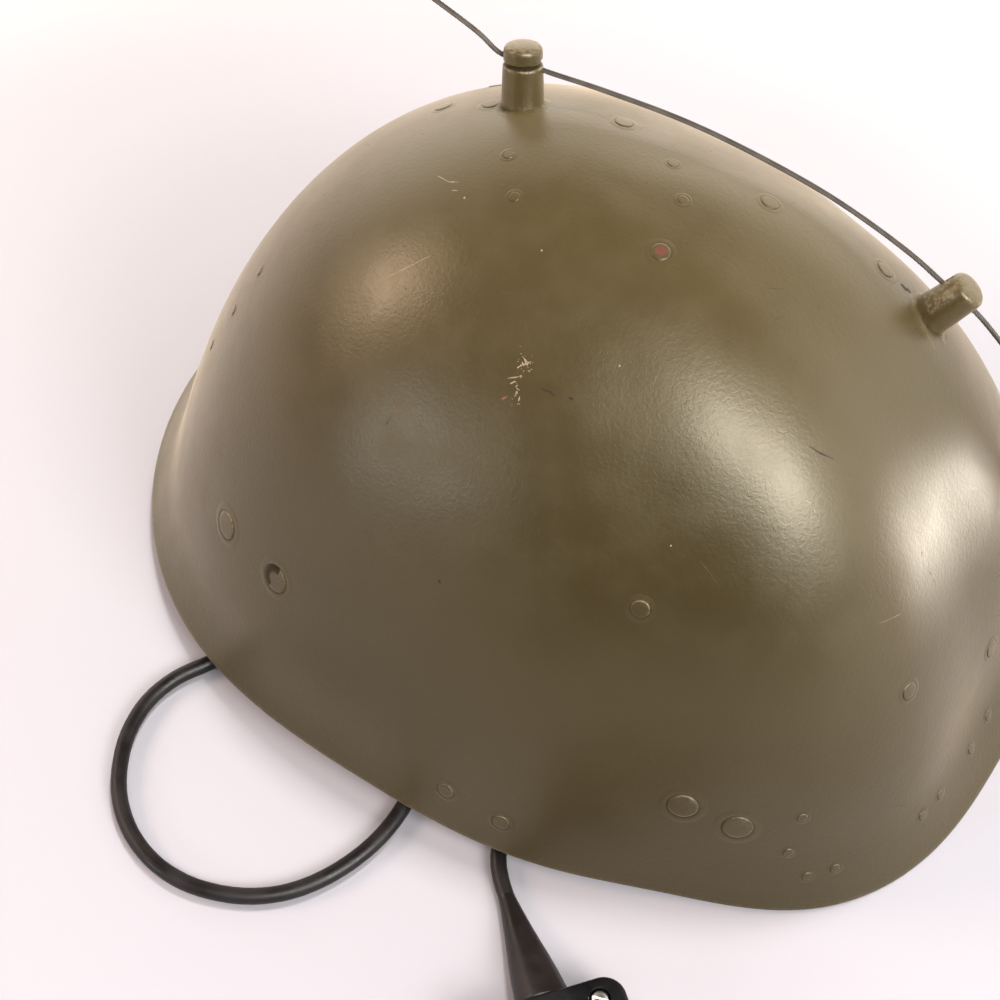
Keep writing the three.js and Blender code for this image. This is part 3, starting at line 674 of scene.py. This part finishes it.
# Head profile: share of the radius, share of the height, dark crack share, pale worn share; the dark ring
# round the head is a joint with painted shade, the pale edge a painted highlight
HEAD_PROFILE = [
    (0.0, 1.0, 0, 0.1),
    (0.4, 1.0, 0, 0.1),
    (0.75, 0.97, 0, 0.15),
    (0.9, 0.9, 0, 0.5),
    (0.97, 0.7, 0.1, 0.9),
    (1.0, 0.3, 0.8, 0.2),
    (1.04, 0.06, 1.0, 0),
    (1.1, 0.1, 0.7, 0),
    (1.2, 0.34, 0.1, 0.25),
    (1.35, 0.3, 0, 0),
    (1.6, 0.08, 0, 0),
    (1.8, -0.15, 0, 0),
]
# Clinch inside: share of its radius, share of its height, dark crack share, pale worn share
CLINCH_PROFILE = [
    (0, -1.0, 0, 0),
    (0.7, -0.95, 0, 0),
    (0.95, -0.6, 0, 0.3),
    (1.0, 0.4, 0.5, 0),
]
CLINCH_HEIGHT = 0.9
# Side of a patch, in the photo's axes, towards the light: there the painted highlight is strongest and the
# painted shade weakest
BRIGHT_SIDE = (0.6, 0.5, 0.6)
# The crown's rivets lie under thicker paint
CROWN_SOFT = 0.45
# The head that has lost paint round its upper left, between two shares of its radius
CHIPPED_RIVET = "rivet_rear_pair_right_2"
CHIP_FROM, CHIP_TO = 0.6, 1.06
CHIP_SIDE, CHIP_REACH, CHIP_CRACK = (-0.85, 0.1, 0.45), 0.12, 1.25
# The head that shows primer, and the share of its radius that is bare
PRIMER_RIVET = "rivet_crown_primer"
BARE_SHARE = 0.7


def patch_on_shell(azimuth, down, profile, radius, height, sides, depth=0.0):
    """Round patch that follows the shell: rings at shares of the radius, heights along the normal."""
    place, normal, u, v = frame_at(azimuth, down)
    points, crack, worn = [], [], []
    bright = to_row(BRIGHT_SIDE)
    bright_turn = math.atan2(bright @ v, bright @ u)
    for share, level, dark, pale in profile:
        count = 1 if share == 0 else sides
        for i in range(count):
            turn = 2 * math.pi * i / sides
            # Painted light: the pale worn share grows and the dark crack share fades towards the lit side.
            facing = 0.5 + 0.5 * math.cos(turn - bright_turn)
            flat = swing(u, v, turn) * share * radius
            points.append(on_shell(place + flat, normal, depth + level * height))
            crack.append(0.75 * dark * (1.0 - 0.7 * facing))
            worn.append(0.8 * pale * facing**2)
    faces = [(0, 1 + i, 1 + j) for i, j in pairs(sides)]
    faces += shifted(grid_faces(len(profile) - 1, sides), 1)
    return points, faces, crack, worn


def add_rivet(name, size, azimuth, down):
    radius, height, clinch, sides = RIVET_SIZES[size]
    middle = outer(azimuth, down)
    points, faces, crack, worn = patch_on_shell(azimuth, down, HEAD_PROFILE, radius, height, sides)
    if clinch > 0:
        more, extra, dark, pale = patch_on_shell(
            azimuth, down, CLINCH_PROFILE, clinch, CLINCH_HEIGHT, sides, -WALL
        )
        offset = len(points)
        points += more
        faces += [face[::-1] for face in shifted(extra, offset)]
        crack += dark
        worn += pale
    if "crown" in name:
        crack = [CROWN_SOFT * value for value in crack]
        worn = [CROWN_SOFT * value for value in worn]
    if name == CHIPPED_RIVET:
        chipped = to_row(CHIP_SIDE)
        for i, point in enumerate(points):
            away = point - middle
            in_ring = CHIP_FROM < np.linalg.norm(away) / radius < CHIP_TO
            if in_ring and away @ chipped > CHIP_REACH * radius:
                crack[i] = CHIP_CRACK
                worn[i] = 0.0
    bare = [0.0] * len(points)
    if name == PRIMER_RIVET:
        bare = [float(np.linalg.norm(p - middle) < BARE_SHARE * radius) for p in points]
    obj = new_mesh(name + "_look", row(points), faces, RIVET_PAINT, crack=crack, worn=worn, bare=bare)
    dress(obj, name)


for rivet_size, members in RIVETS.items():
    for rivet_name, rivet_azimuth, rivet_down, count in members:
        add_rivet("rivet_" + rivet_name, rivet_size, rivet_azimuth, rivet_down)
        if count == 2:
            other_name = "rivet_" + rivet_name.replace("right", "left")
            add_rivet(other_name, rivet_size, -rivet_azimuth, rivet_down)


# Posts: hole is the share of the height where the wire crosses, heading is the wire's there
Post = namedtuple("Post", "name azimuth down height hole axis groove heading")
POSTS = [
    Post("antenna_post_rear", 150, 18, 16.6, 0.71, (-0.18, 0.27, 0.946), True, (0.95, 0.25, -0.2)),
    Post("antenna_post_front", 21.9, 44.2, 14.2, 0.68, (0.521, 0.326, 0.784), False, (0.915, -0.03, -0.4)),
    Post("antenna_anchor", 20, 70, 14.0, 0.66, None, False, (0.1, 0.18, -0.98)),
]
POST_FOOT, POST_WAIST, POST_CAP, POST_GROOVE = 5.8, 5.6, 5.1, 4.3
POST_SIDES = 72
FOOT_TOP = 1.8
CAP_ROUND = 1.6
GROOVE_HALF = 0.62
WIRE_RADIUS = 0.7
# Notches at both ends of the wire's bore: turns, heights over the bore, depth, half width and its taper
NOTCH_TURNS = (0.06, math.pi, 2 * math.pi + 0.06)
NOTCH_LOW, NOTCH_HIGH = 0.4, 2.6
NOTCH_DEPTH, NOTCH_HALF, NOTCH_TAPER = 0.9, 0.3, 0.08
# Pale streak along a post without a groove, a painted highlight: its side in the photo's axes, facing,
# width, ends
STREAK_SIDE = (-0.62, -0.2, 0.76)
STREAK_FACING, STREAK_WIDTH = 0.9, 0.13
STREAK_LOW, STREAK_OVER_BORE = 3.0, 2.0


def post_frame(post):
    """Foot of a post, its axis and the middle of its wire bore."""
    place, normal = frame_at(post.azimuth, post.down)[:2]
    up = unit(np.array(post.axis, float)) if post.axis else normal
    return place, up, place + up * post.height * post.hole


def post_profile(height, middle, groove):
    """Rows of radius, level, pale worn share and dark crack share: foot, waist, groove where there is one,
    domed cap; the groove's inside is painted dark, a painted shade.
    """
    rows = [
        (POST_WAIST + 0.45, -1.2, 0, 0.6),
        (POST_WAIST + 0.25, 0.3, 0.1, 0.6),
        (POST_WAIST + 0.08, 1.0, 0.15, 0.25),
        (POST_WAIST, FOOT_TOP, 0.05, 0),
    ]
    top = height - 1.7
    if groove:
        low, high = middle - GROOVE_HALF, middle + GROOVE_HALF
        waist = POST_WAIST - 0.3
        for share in np.linspace(0.15, 0.95, 9):
            rows.append((POST_WAIST - 0.28 * share, FOOT_TOP + (low - 0.35 - FOOT_TOP) * share, 0.03, 0))
        rows += [
            (waist, low - 0.32, 0.7, 0),
            (waist - 0.1, low - 0.1, 0.9, 0),
            (waist - 0.35, low + 0.02, 0.3, 0.45),
            (POST_GROOVE + 0.1, low + 0.06, 0, 0.9),
            (POST_GROOVE, low + 0.2, 0, 0.9),
            (POST_GROOVE, high - 0.2, 0, 0.9),
            (POST_GROOVE + 0.1, high - 0.05, 0, 0.9),
            (POST_CAP - 0.15, high, 0, 0.45),
            (POST_CAP, high + 0.15, 0.3, 0.05),
        ]
        for share in np.linspace(0.1, 0.9, 5):
            rows.append((POST_CAP, high + 0.15 + (top - high - 0.15) * share, 0.05, 0))
    else:
        for share in np.linspace(0.06, 0.97, 20):
            radius = POST_WAIST + (POST_CAP - POST_WAIST) * share
            rows.append((radius, FOOT_TOP + (top - FOOT_TOP) * share, 0.05, 0))
    for turn in (0, 18, 36, 52, 66, 78):
        bend = math.radians(turn)
        pale = 0.45 if 30 < turn < 70 else 0.15
        radius = POST_CAP - CAP_ROUND * (1 - math.cos(bend))
        rows.append((radius, top + CAP_ROUND * math.sin(bend), pale, 0))
    rows += [
        (POST_CAP - 2.2, height + 0.08, 0.2, 0),
        (POST_CAP - 3.6, height + 0.22, 0.15, 0),
    ]
    return rows


def notch_depth(turn, over_bore):
    """Depth of the notch at the wire's bore, which closes upwards like a small vee."""
    if not NOTCH_LOW < over_bore < NOTCH_HIGH:
        return 0.0
    away = min(abs(turn - end) for end in NOTCH_TURNS)
    return NOTCH_DEPTH * max(0.0, 1 - away / (NOTCH_HALF - NOTCH_TAPER * over_bore))


def make_post(post):
    place, up = post_frame(post)[:2]
    heading = np.array(post.heading, float)
    side = unit(heading - up * (heading @ up))
    other = np.cross(up, side)
    middle = post.height * post.hole
    rng = np.random.default_rng(len(post.name))
    wobble = rng.normal(0, 0.004, POST_SIDES)
    wobble = (wobble + np.roll(wobble, 1) + np.roll(wobble, 2)) / 2
    points, worn, crack = [], [], []
    glint = to_row(STREAK_SIDE)
    for radius, level, pale, dark in post_profile(post.height, middle, post.groove):
        streaked = not post.groove and STREAK_LOW < level < middle + STREAK_OVER_BORE
        for i in range(POST_SIDES):
            turn = 2 * math.pi * i / POST_SIDES
            notch = notch_depth(turn, level - middle)
            out = swing(side, other, turn)
            points.append(place + up * level + out * (radius * (1 + wobble[i]) - notch))
            # Painted highlight: a pale band on the side that faces the streak's side.
            streak = max(0.0, 1 - abs(out @ glint - STREAK_FACING) / STREAK_WIDTH) * streaked
            worn.append(min(1.0, pale + 0.7 * streak))
            # Painted shade: the notch at the wire's bore is painted dark.
            crack.append(min(1.0, dark + 0.7 * (notch > 0.25)))
    faces = close_ends(points, POST_SIDES, place - up * 1.3, place + up * (post.height + 0.25))
    worn += [0, 0.15]
    crack += [0, 0]
    obj = new_mesh(post.name + "_look", row(points), faces, POST_PAINT, worn=worn, crack=crack)
    face_out(obj)
    dress(obj, post.name)


# Low ring of painted weld round a post's foot: share of its radius, height, dark crack share, pale worn
# share
BEAD_PROFILE = [
    (0.0, 0.2, 0, 0),
    (0.8, 0.5, 0.4, 0),
    (0.99, 0.75, 0.9, 0.0),
    (1.06, 0.4, 0.4, 0.1),
    (1.14, 0.2, 0.2, 0.15),
    (1.26, 0.05, 0, 0.05),
    (1.45, -0.1, 0, 0),
]
BEAD_SIDES = 48
BEAD_ROUGH = 0.12


def make_bead(post):
    spot = post.azimuth, post.down
    points, faces, crack, worn = patch_on_shell(*spot, BEAD_PROFILE, POST_FOOT, 1.0, BEAD_SIDES)
    normal = frame_at(*spot)[1]
    rng = np.random.default_rng(7)
    for i, point in enumerate(points):
        uneven = BEAD_ROUGH * rng.normal()
        if i > BEAD_SIDES:
            points[i] = point + normal * uneven
    obj = new_mesh(post.name + "_bead", row(points), faces, POST_PAINT, worn=worn, crack=crack)
    dress(obj)


for antenna_post in POSTS:
    make_post(antenna_post)
    make_bead(antenna_post)


def blend(a, b, start, end, t):
    """Point at t on the straight line from a at start to b at end."""
    return (end - t) / (end - start) * a + (t - start) / (end - start) * b


def smooth_line(points, spacing):
    """Centripetal Catmull-Rom line through the points, at about even spacing."""
    p = np.asarray(points, float)
    p = np.concatenate([[2 * p[0] - p[1]], p, [2 * p[-1] - p[-2]]])
    result = []
    for i in range(1, len(p) - 2):
        p0, p1, p2, p3 = part = p[i - 1 : i + 3]
        gaps = np.linalg.norm(np.diff(part, axis=0), axis=1)
        t0, t1, t2, t3 = np.concatenate([[0], np.cumsum(np.sqrt(gaps))])
        for t in np.linspace(t1, t2, max(2, int(gaps[1] / spacing)), endpoint=False):
            a1 = blend(p0, p1, t0, t1, t)
            a2 = blend(p1, p2, t1, t2, t)
            a3 = blend(p2, p3, t2, t3, t)
            b1 = blend(a1, a2, t0, t2, t)
            b2 = blend(a2, a3, t1, t3, t)
            result.append(blend(b1, b2, t1, t2, t))
    result.append(p[-2])
    return np.array(result)


# Antenna wire: free points, or the number of a post, on both sides of which it is straight
WIRE_STRAIGHT = 6.5
WIRE_ROUTE = [
    (-98, 16.5, 177.5), (-78, 17, 172), (-58.5, 17.6, 165.8), (-45.3, 18.1, 160.8), 0,
    (-13, 25.2, 153.1), (10, 31, 149.3), (31, 34.7, 144.7), (51.8, 37, 139.4),
    (73.2, 37.4, 132.7), 1, (102.4, 36.6, 117.8), (112.5, 38.6, 106), (121, 41.5, 90), 2,
]
STRANDS, STRAND_RADIUS, STRAND_SIDES, STRAND_PITCH = 6, 0.25, 7, 7.0


def wire_line():
    points = []
    for step in WIRE_ROUTE:
        if isinstance(step, int):
            bore = post_frame(POSTS[step])[2]
            heading = unit(np.array(POSTS[step].heading, float))
            points += [bore + heading * far for far in (-WIRE_STRAIGHT, 0, WIRE_STRAIGHT)]
        else:
            points.append(np.array(step, float))
    return smooth_line(points, 0.6)


def make_wire(line):
    """Strands laid round a line, as one piece."""
    ahead = unit(np.gradient(line, axis=0))
    side = unit(np.cross(ahead, [0.1, 0.98, 0.17]))
    other = np.cross(ahead, side)
    arc = arc_along(line)
    points, faces = [], []
    for strand in range(STRANDS):
        turn = (2 * math.pi * (strand / STRANDS + arc / STRAND_PITCH))[:, None]
        out = side * np.cos(turn) + other * np.sin(turn)
        across = np.cross(ahead, out)
        middle = line + out * (WIRE_RADIUS - STRAND_RADIUS)
        offset = len(points)
        for i in range(len(line)):
            for k in range(STRAND_SIDES):
                away = swing(out[i], across[i], 2 * math.pi * k / STRAND_SIDES)
                points.append(middle[i] + away * STRAND_RADIUS)
        faces += shifted(grid_faces(len(line), STRAND_SIDES, flip=True), offset)
        faces.append(tuple(range(offset, offset + STRAND_SIDES)))
        faces.append(tuple(range(len(points) - STRAND_SIDES, len(points))))
    obj = new_mesh("antenna_wire_look", row(points), faces, WIRE_STEEL)
    face_out(obj)
    return obj


dress(make_wire(wire_line()), "antenna_wire")


# Gland through the left wall: radius, level along the outward normal from the outer face
GLAND_AZIMUTH, GLAND_DOWN = 88, 90
GLAND_PROFILE = [
    (0, 1.35), (3.4, 1.35), (3.9, 0.95), (4.0, 0.35), (3.0, 0.3), (3.0, -1.9), (5.8, -1.95),
    (6.0, -2.2), (6.0, -4.1), (5.7, -4.4), (4.6, -4.6), (4.6, -14.0), (4.4, -14.6),
    (3.6, -17.7), (3.3, -18.0), (0, -18.0),
]
TURNED_SIDES = 40
SHARP_ANGLE = math.radians(38)


def turned_object(name, place, axis, profile, material):
    """Turned piece: radius and level pairs along an axis, both ends at radius 0, millimetres."""
    side = unit(np.cross(axis, [0.31, 0.24, 0.92]))
    other = np.cross(axis, side)
    points = []
    for radius, level in profile[1:-1]:
        for i in range(TURNED_SIDES):
            out = swing(side, other, 2 * math.pi * i / TURNED_SIDES)
            points.append(place + axis * level + out * radius)
    first, last = (place + axis * level for radius, level in (profile[0], profile[-1]))
    faces = close_ends(points, TURNED_SIDES, first, last)
    obj = new_mesh(name, row(points), faces, material)
    face_out(obj)
    obj.data.set_sharp_from_angle(angle=SHARP_ANGLE)
    return obj


gland_place, gland_normal = frame_at(GLAND_AZIMUTH, GLAND_DOWN)[:2]
gland = turned_object("cable_gland_look", gland_place, gland_normal, GLAND_PROFILE, GLAND_PLASTIC)
dress(gland, "cable_gland")


# Cable: leaves the gland straight, lies on the surface, passes under the right rim three times
CABLE_RADIUS = 2.3
GLAND_MOUTH = 18.0
STRAIGHT_OUT = (0.35, 7.35, 14.35)
# From the gland down to the surface, and then along it
CABLE_DOWN = [(2, 64, 20.5), (-1, 49, 14), (-5, 34, 7.5), (-10, 19, 3.6)]
CABLE_HEIGHT = 2.4
CABLE_ROUTE = [
    (-16, 3), (-23, -14), (-31, -33), (-39, -53), (-47, -73), (-54.4, -91), (-60.3, -105),
    (-65.3, -114.8), (-67.1, -125.4), (-64.8, -137), (-59.1, -147.3), (-52.4, -154.6),
    (-43.3, -160.3), (-32.5, -163.4), (-21.8, -163.3), (-11.5, -160.3), (-3.2, -155.8),
    (4.2, -149), (9.5, -140.8), (13.2, -131.4), (15.1, -122), (15.2, -112.5), (13.2, -101),
    (9.6, -89), (8.2, -77), (12.3, -65), (22, -58.4), (33.5, -59.6), (42, -67.5), (44.8, -79),
    (43.6, -92), (43.2, -101), (45.8, -108.5), (50.2, -113.7),
]
# Point on the surface where the strain relief starts, its heading, and across and up from it
END = np.array([54.6, -117.4, 0.0])
HEADING = np.array([0.778, -0.629, 0.0])
ACROSS = np.array([0.629, 0.778, 0.0])
UP = np.array([0.0, 0.0, 1.0])
cable_points = [gland_place - gland_normal * (GLAND_MOUTH + far) for far in STRAIGHT_OUT]
cable_points += [np.array(place, float) for place in CABLE_DOWN]
cable_points += [np.array([x, y, CABLE_HEIGHT]) for x, y in CABLE_ROUTE]
cable_points.append(END - HEADING * 0.3 + UP * 2.5)
cable_line = row(smooth_line(cable_points, 2.5))


def make_cable(line):
    """Round tube along a line of points, metres."""
    data = bpy.data.curves.new("cable_look", "CURVE")
    data.dimensions = "3D"
    spline = data.splines.new("POLY")
    spline.points.add(len(line) - 1)
    for point, place in zip(spline.points, line):
        point.co = (*place, 1)
    spline.use_smooth = True
    data.bevel_depth = CABLE_RADIUS * MM
    data.bevel_resolution = 8
    data.use_fill_caps = True
    data.materials.append(CABLE_RUBBER)
    obj = bpy.data.objects.new("cable_look", data)
    scene.collection.objects.link(obj)
    return obj


cable = make_cable(cable_line)
dress(cable, "cable")


# Strain relief, a soft oval boot: place along the heading, half width, half height, centre height
BOOT = [
    (-3.0, 2.0, 2.0, 2.42),
    (-1.0, 2.28, 2.28, 2.44),
    (0.6, 2.42, 2.4, 2.5),
    (3.0, 2.75, 2.7, 2.8),
    (6.0, 3.2, 3.1, 3.2),
    (10.0, 3.85, 3.5, 3.6),
    (15.0, 4.75, 4.1, 4.3),
    (20.0, 5.7, 4.9, 5.1),
    (25.0, 6.5, 5.7, 6.0),
    (30.0, 7.1, 6.4, 6.9),
    (32.2, 7.3, 6.7, 7.3),
    (32.5, 7.25, 6.6, 7.3),
]
BOOT_SIDES, BOOT_RINGS = 56, 60
# A blunt ridge and a shallow hollow, which grow over a length: turn, width, amount
RIDGE = (1.95, 0.28, 0.05)
HOLLOW = (1.25, 0.35, -0.05)
SWELL_LENGTH = 8


def swell(form, turn, along):
    """Share by which a ridge or hollow changes the boot's radius."""
    middle, width, amount = form
    return 1 + amount * math.exp(-(((turn - middle) / width) ** 2)) * min(1, max(0, along / SWELL_LENGTH))


def make_boot():
    table = np.array(BOOT)
    places = np.linspace(table[0, 0], table[-1, 0], BOOT_RINGS)
    points = []
    for along in places:
        half_width, half_height, centre = (np.interp(along, table[:, 0], table[:, c]) for c in (1, 2, 3))
        for i in range(BOOT_SIDES):
            turn = 2 * math.pi * i / BOOT_SIDES
            size = swell(RIDGE, turn, along) * swell(HOLLOW, turn, along)
            x = half_width * math.cos(turn) * size
            z = half_height * math.sin(turn) * size
            points.append(END + HEADING * along + ACROSS * x + UP * max(0.05, centre + z))
    first, last = END + HEADING * places[0] + UP * 2.5, END + HEADING * places[-1] + UP * 7.3
    faces = close_ends(points, BOOT_SIDES, first, last)
    obj = new_mesh("strain_relief_look", row(points), faces, BOOT_RUBBER)
    face_out(obj)
    return obj


boot = make_boot()
dress(boot, "strain_relief")


# Switch box with a round recess for its screw
BOX_START = 32.5
BOX_WIDTH, BOX_LENGTH, BOX_HEIGHT, BOX_CORNER, BOX_EDGE = 41.0, 57.0, 14.6, 6.0, 1.3
BOX_CORNER_STEPS, BOX_EDGE_STEPS = 10, 5
BOX_LIFT = 0.02
SCREW_FROM_END, SCREW_FROM_MIDDLE = 5.8, 13.4
# Radius and level from the box's top
RECESS_PROFILE = [(0, -1.8), (2.85, -1.8), (2.85, -0.25), (3.2, 0.3), (3.2, 2), (0, 2)]
SCREW_PROFILE = [
    (0, -1.75), (2.2, -1.75), (2.3, -1.6), (2.3, -0.75), (2.15, -0.5), (1.7, -0.2),
    (1.0, -0.02), (0.4, 0.03), (0, 0.04),
]
# The screw's slot: half length, half width, bottom and top from the box's top
SLOT_HALF_LENGTH, SLOT_HALF_WIDTH, SLOT_BOTTOM, SLOT_TOP = 4, 0.38, -0.95, 1.5
BLOCK_FACES = [(0, 1, 3, 2), (4, 6, 7, 5), (0, 4, 5, 1), (2, 3, 7, 6), (0, 2, 6, 4), (1, 5, 7, 3)]


def box_place(along, side, height):
    return END + HEADING * along + ACROSS * side + UP * height


SCREW_PLACE = box_place(BOX_START + SCREW_FROM_END, SCREW_FROM_MIDDLE, BOX_HEIGHT)


def make_box():
    half_l, half_w = BOX_LENGTH / 2, BOX_WIDTH / 2
    outline = []
    for sx, sy, start in [(1, 1, 0), (-1, 1, 90), (-1, -1, 180), (1, -1, 270)]:
        for i in range(BOX_CORNER_STEPS + 1):
            turn = math.radians(start + 90 * i / BOX_CORNER_STEPS)
            corner_x, corner_y = sx * (half_l - BOX_CORNER), sy * (half_w - BOX_CORNER)
            outline.append((corner_x, corner_y, math.cos(turn), math.sin(turn)))
    levels = []
    for i in range(BOX_EDGE_STEPS + 1):
        a = math.pi / 2 * i / BOX_EDGE_STEPS
        levels.append((BOX_EDGE * (1 - math.sin(a)), BOX_EDGE * (1 - math.cos(a)) + BOX_LIFT))
    levels += [(inset, BOX_HEIGHT - z + BOX_LIFT) for inset, z in reversed(levels)]
    count = len(outline)
    points = []
    middle = BOX_START + half_l
    for inset, z in levels:
        r = BOX_CORNER - inset
        for cx, cy, dx, dy in outline:
            points.append(box_place(middle + cx + dx * r, cy + dy * r, z))
    faces = grid_faces(len(levels), count, flip=True)
    faces.append(tuple(range(count)))
    faces.append(tuple(range((len(levels) - 1) * count, len(levels) * count)))
    obj = new_mesh("switch_box_look", row(points), faces, BOX_PLASTIC)
    face_out(obj)
    cut(obj, turned_object("recess", SCREW_PLACE, UP, RECESS_PROFILE, BOX_PLASTIC))
    obj.data.set_sharp_from_angle(angle=SHARP_ANGLE)
    return obj


def make_screw():
    obj = turned_object("box_screw_look", SCREW_PLACE, UP, SCREW_PROFILE, SCREW_STEEL)
    slot = unit(HEADING * 0.5 + ACROSS * 0.85)
    cross = np.cross(UP, slot)
    corners = []
    for a in (-SLOT_HALF_LENGTH, SLOT_HALF_LENGTH):
        for b in (-SLOT_HALF_WIDTH, SLOT_HALF_WIDTH):
            for c in (SLOT_BOTTOM, SLOT_TOP):
                corners.append(SCREW_PLACE + slot * a + cross * b + UP * c)
    cut(obj, new_mesh("slot", row(corners), BLOCK_FACES, SCREW_STEEL, smooth=False))
    return obj


box = make_box()
dress(box, "switch_box")
screw = make_screw()
dress(screw, "box_screw")


# Floor in metres, and its colours near, away, outside the camera's view and in the grain; darker near and
# lighter away is painted shade and light
FLOOR_RADIUS, FLOOR_SIDES = 1.5, 96
FLOOR_NEAR = (0.485, 0.467, 0.51)
FLOOR_AWAY = (0.525, 0.51, 0.535)
FLOOR_OUTSIDE = (0.86, 0.8, 0.77)
FLOOR_GRAIN = (0.46, 0.44, 0.46)
# Middle of the view on the floor, in the photo's axes
VIEW_MIDDLE = (-0.08, -0.03, 0)


def make_floor():
    s = Shader("floor_paper", Roughness=0.75, IOR=1.45)
    grain = s.noise(240, 4, 0.6)
    away = s.measure("DOT_PRODUCT", s.place, to_row((0, 1, 0)))
    # Painted shade and light: the floor is darker near the camera and lighter away from it.
    base = s.mix(s.ramp(away, -0.2, 0.3), FLOOR_NEAR, FLOOR_AWAY)
    reach = s.measure("DISTANCE", s.place, to_row(VIEW_MIDDLE))
    base = s.mix(s.ramp(reach, 0.25, 0.45), base, FLOOR_OUTSIDE)
    s.set("Base Color", s.mix(s.ramp(grain, 0.3, 0.7, 0.0, 0.04), base, FLOOR_GRAIN))
    s.set("Normal", s.bump(s.noise(900, 3, 0.6), 0.0001, 0.3))
    points = []
    for i in range(FLOOR_SIDES):
        turn = 2 * math.pi * i / FLOOR_SIDES
        points.append((FLOOR_RADIUS * math.cos(turn), FLOOR_RADIUS * math.sin(turn), 0))
    new_mesh("floor", points, [tuple(range(FLOOR_SIDES))], s.material, smooth=False)


make_floor()


def area_light(name, place, aim, size, power, colour, spread, reach):
    """Rectangular lamp at a place in the photo's axes, turned to its aim, metres."""
    data = bpy.data.lights.new(name, "AREA")
    data.shape = "RECTANGLE"
    data.size, data.size_y = size
    data.energy = power
    data.color = colour
    data.spread = math.radians(spread)
    light = bpy.data.objects.new(name, data)
    scene.collection.objects.link(light)
    target, spot = to_row(aim), to_row(place)
    light.location = spot
    light.rotation_mode = "QUATERNION"
    light.rotation_quaternion = Vector(target - spot).to_track_quat("-Z", "Y")
    light.visible_glossy = reach != "diffuse"
    light.visible_diffuse = reach != "gloss"


MIDDLE = (0, 0, 0.07)
LOW_AIM = (0.081, -0.072, 0.094)
NEUTRAL = (1.0, 0.98, 0.95)
WARM = (1.0, 0.98, 0.98)
ORANGE = (1.0, 0.75, 0.61)
COOL = (0.97, 0.97, 1.0)
PEACH = (1.0, 0.94, 0.88)
# Lamps: name, place, aim, size, watts, colour, spread in degrees, what they light
LAMPS = [
    ("overhead", (0.22, 0.42, 1.42), MIDDLE, (0.26, 0.24), 15.0, NEUTRAL, 180, "diffuse"),
    ("near_fill", (0.1, -0.72, 1.0), MIDDLE, (0.95, 0.5), 3.9, NEUTRAL, 180, "diffuse"),
    ("right_fill", (0.62, -0.76, 0.8), MIDDLE, (0.56, 0.46), 11.0, NEUTRAL, 180, "diffuse"),
    ("near_top", (0.18, -0.72, 0.98), MIDDLE, (0.6, 0.42), 15.0, WARM, 180, "gloss"),
    ("near_right", (0.66, -0.76, 0.76), MIDDLE, (0.5, 0.46), 18.0, WARM, 180, "gloss"),
    ("left_lamp", (-1.12, 0.13, 0.72), MIDDLE, (0.42, 0.42), 9.5, ORANGE, 180, "both"),
    ("left_low", (-0.98, -0.57, 0.37), MIDDLE, (0.3, 0.28), 3.0, COOL, 180, "both"),
    ("right_low", (0.343, -0.04, 0.026), LOW_AIM, (0.05, 0.04), 0.0029, PEACH, 7.5, "gloss"),
]
for lamp in LAMPS:
    area_light(*lamp)

WORLD_BASE = 0.05
WORLD_GLOW = 2.6


def make_world():
    """Dim surroundings with a glow low down, away and to the right."""
    world = bpy.data.worlds.new("studio")
    world.use_nodes = True
    s = Nodes(world.node_tree)
    background = s.tree.nodes["Background"]
    background.inputs["Color"].default_value = (1.0, 0.94, 0.9, 1.0)
    ray = s.node("ShaderNodeTexCoord").outputs["Generated"]
    far_side = s.measure("DOT_PRODUCT", ray, to_row((0.6, 0.8, 0)))
    overhead = s.measure("DOT_PRODUCT", ray, to_row((0, 0, 1)))
    glow = s.ramp(far_side, -0.35, 0.45, 0.0, WORLD_GLOW)
    total = s.math("MULTIPLY_ADD", glow, s.ramp(overhead, 0.85, 0.35), WORLD_BASE)
    s.fill(background.inputs["Strength"], total)
    scene.world = world


make_world()
scene.view_settings.view_transform = "Standard"
scene.view_settings.look = "None"
